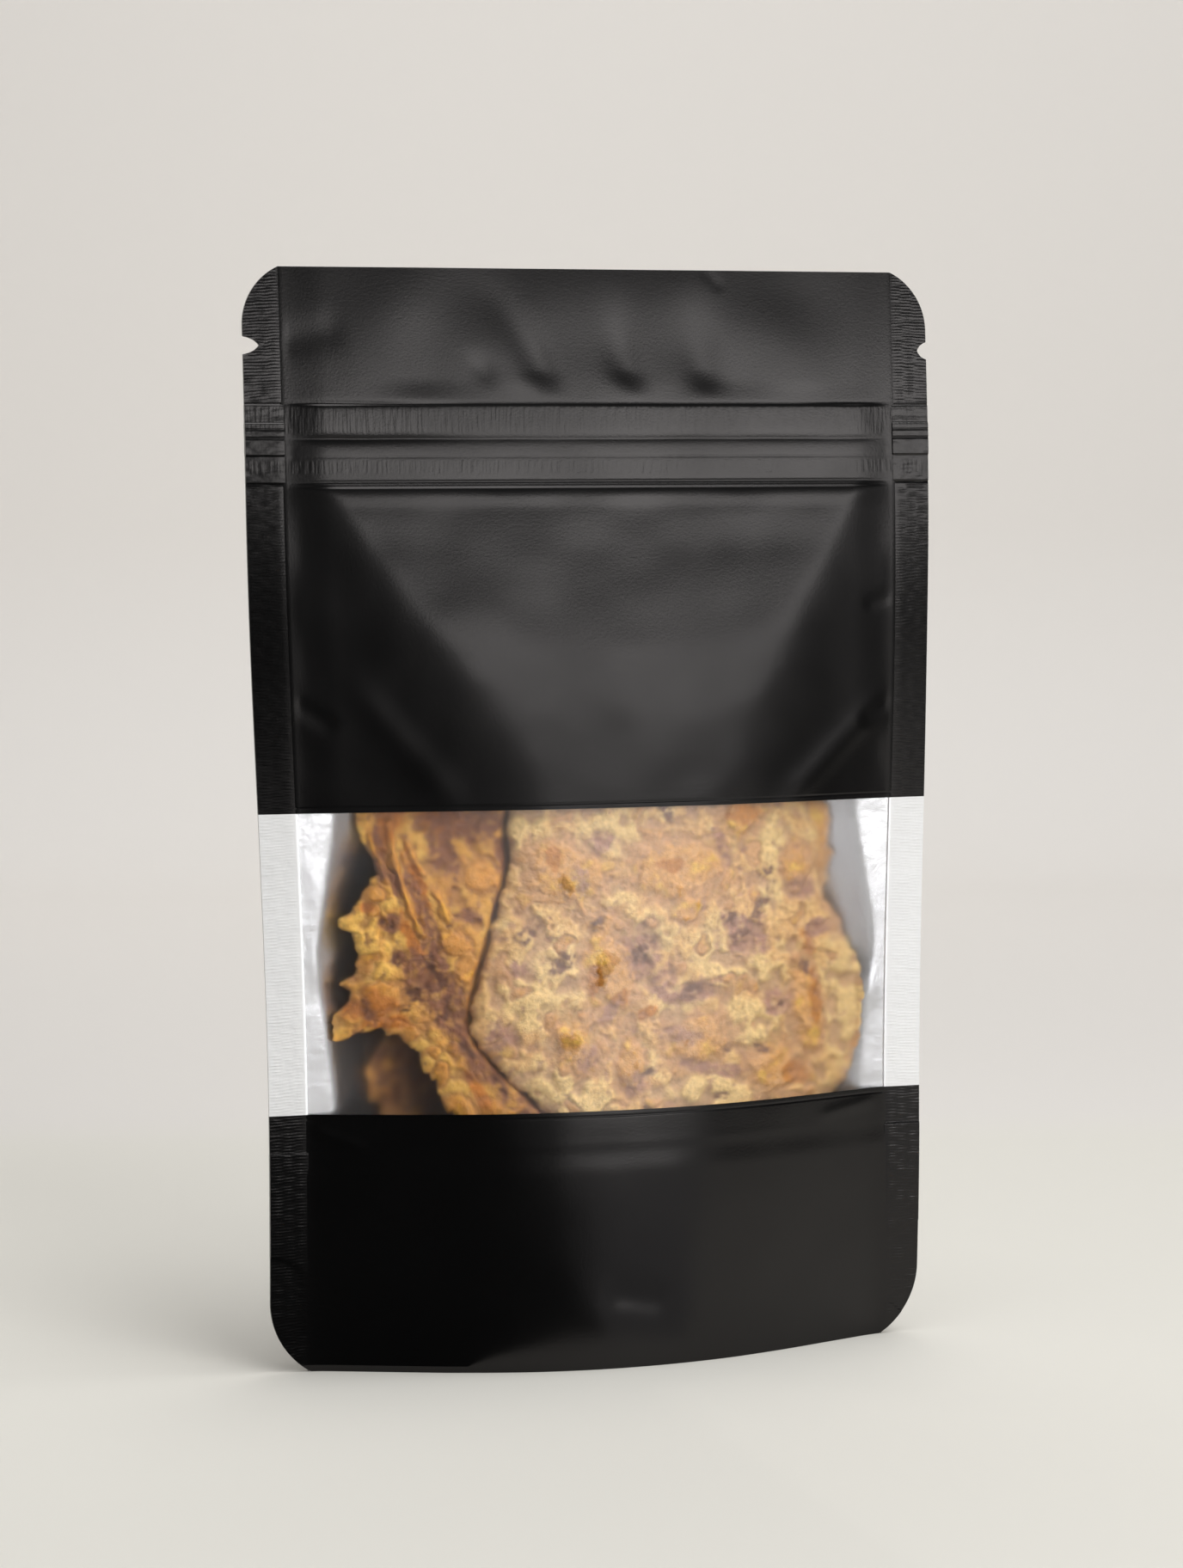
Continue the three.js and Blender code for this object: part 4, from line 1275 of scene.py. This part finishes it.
class POUCH_OT_stage(Operator):
    """Makes the table and backdrop, the lamps and the camera"""

    bl_idname = "pouch.stage"
    bl_label = "Stage"

    def backdrop(self, settings):
        """A level table top that sweeps up into a wall: a straight run, a quarter circle and a
        straight rise, carried sideways and turned to face the camera."""
        edge, radius, reach = 760.0, 130.0, 3000.0
        turn = np.linspace(0, math.pi / 2, 24)
        run = np.concatenate([np.linspace(-reach, edge, 30)[:-1], edge + radius * np.sin(turn),
                              np.full(12, edge + radius)])
        rise = np.concatenate([np.zeros(29), radius * (1 - np.cos(turn)),
                               np.linspace(radius, reach, 13)[1:]])
        side = np.linspace(-reach, reach, 25)
        x = side[None, :] * math.cos(CAMERA_YAW) + run[:, None] * math.sin(CAMERA_YAW)
        y = run[:, None] * math.cos(CAMERA_YAW) - side[None, :] * math.sin(CAMERA_YAW)
        points = stack(x, y, rise[:, None])
        s = Shader("studio_backdrop")
        away = (math.sin(CAMERA_YAW), math.cos(CAMERA_YAW), 0.0)
        right = (math.cos(CAMERA_YAW), -math.sin(CAMERA_YAW), 0.0)
        behind = s.ramp(s.along(away), 0.20, 0.25)
        base = s.mix(behind, settings.table, settings.wall)
        # Painted shade: the colour darkens towards the right, where the lamps light the backdrop
        # more, and on the floor just beyond the table's edge.
        base = s.mix(s.ramp(s.along(right), -0.15, 0.45, 0.0, 0.12), base, BLACK)
        painted_edge_shade = s.math("MULTIPLY", behind, s.ramp(s.along(away), 0.8, 0.3))
        base = s.mix(s.math("MULTIPLY", painted_edge_shade, 0.11), base, BLACK)
        material = s.surface("ShaderNodeBsdfPrincipled", {
            "Base Color": base,
            "Roughness": 0.75,
            "Specular IOR Level": 0.2,
            "Normal": s.bump(s.noise(0.004), 0.00002),
        })
        add_stage("backdrop", points, material)

    def flags(self):
        """Cards, each a part of a drum round the pouch: they stand or lie on the table to the
        left and right of the camera, and a low one hangs under the sheen lamp. Only mirrored
        rays see them: the outer ones keep the film's flanks dark, and the inner ones light
        and shade the foil."""
        for name, start, end, profile, tone, outer in FLAGS:
            material = Shader(name + "_card").surface("ShaderNodeBsdfDiffuse", {"Color": tone})
            turn = np.radians(np.linspace(start, end, 24))[None, :]
            away, rise = np.array(profile, float).T[:, :, None]
            points = stack(away * np.sin(turn), -away * np.cos(turn), rise)
            card = add_stage(name, points, material)
            card.visible_camera = False
            card.visible_diffuse = False
            card.visible_glossy = outer
            card.visible_transmission = not outer
            card.visible_shadow = False

    def lamp(self, name, place, size, glossy, watts):
        """An area lamp that faces the pouch and isn't seen by the camera itself."""
        data = bpy.data.lights.new(name, "AREA")
        data.shape = "RECTANGLE"
        data.size, data.size_y = size
        data.energy = watts
        lamp = add_object(name, data)
        lamp.location = place
        away = np.array(place) - np.array(AIM)
        tilt = math.atan2(math.hypot(away[0], away[1]), away[2])
        lamp.rotation_euler = Euler((tilt, 0, math.atan2(away[1], away[0]) + math.pi / 2))
        lamp.visible_camera = False
        lamp.visible_glossy = glossy

    def execute(self, context):
        settings = context.scene.pouch_stage
        self.backdrop(settings)
        self.flags()
        for name, place, size, glossy in LAMPS:
            self.lamp(f"{name}_softbox", place, size, glossy, getattr(settings, name))
        world = bpy.data.worlds.new("dim_room")
        world.use_nodes = True
        background = world.node_tree.nodes["Background"].inputs
        background["Color"].default_value = (0.95, 0.97, 1.0, 1)
        background["Strength"].default_value = 0.05
        context.scene.world = world
        context.scene.view_settings.view_transform = "Standard"
        data = bpy.data.cameras.new("camera")
        data.lens = CAMERA_LENS
        data.sensor_width = 36.0
        camera = add_object("camera", data)
        camera.location = CAMERA_PLACE
        look = Euler((math.pi / 2 - CAMERA_PITCH, 0, -CAMERA_YAW)).to_matrix()
        roll = Euler((0, 0, CAMERA_ROLL)).to_matrix()
        camera.rotation_euler = (look @ roll).to_euler()
        context.scene.camera = camera
        return {"FINISHED"}


class POUCH_PT_sidebar(Panel):
    """Sizes, colours and the makers of the pouch's pieces"""

    bl_label = "Pouch"
    bl_space_type = "VIEW_3D"
    bl_region_type = "UI"
    bl_category = "Pouch"

    def draw(self, context):
        scene = context.scene
        for group in (scene.pouch_sizes, scene.pouch_colours, scene.pouch_stage):
            box = self.layout.box()
            for name in group.__annotations__:
                box.prop(group, name)
        for maker in MAKERS:
            self.layout.operator(maker.bl_idname)


GROUPS = {"pouch_sizes": PouchSizes, "pouch_colours": PouchColours, "pouch_stage": StageSettings}
MAKERS = (
    POUCH_OT_stage,
    POUCH_OT_films,
    POUCH_OT_seals,
    POUCH_OT_window,
    POUCH_OT_gusset,
    POUCH_OT_cookies,
)
CLASSES = (*GROUPS.values(), *MAKERS, POUCH_PT_sidebar)


def register():
    for each in CLASSES:
        bpy.utils.register_class(each)
    for name, group in GROUPS.items():
        setattr(bpy.types.Scene, name, PointerProperty(type=group))


def unregister():
    for name in GROUPS:
        delattr(bpy.types.Scene, name)
    for each in reversed(CLASSES):
        bpy.utils.unregister_class(each)


def main():
    register()
    bpy.ops.pouch.stage()
    bpy.ops.pouch.films()
    bpy.ops.pouch.seals()
    bpy.ops.pouch.window()
    bpy.ops.pouch.gusset()
    bpy.ops.pouch.cookies()


if __name__ == "__main__":
    main()
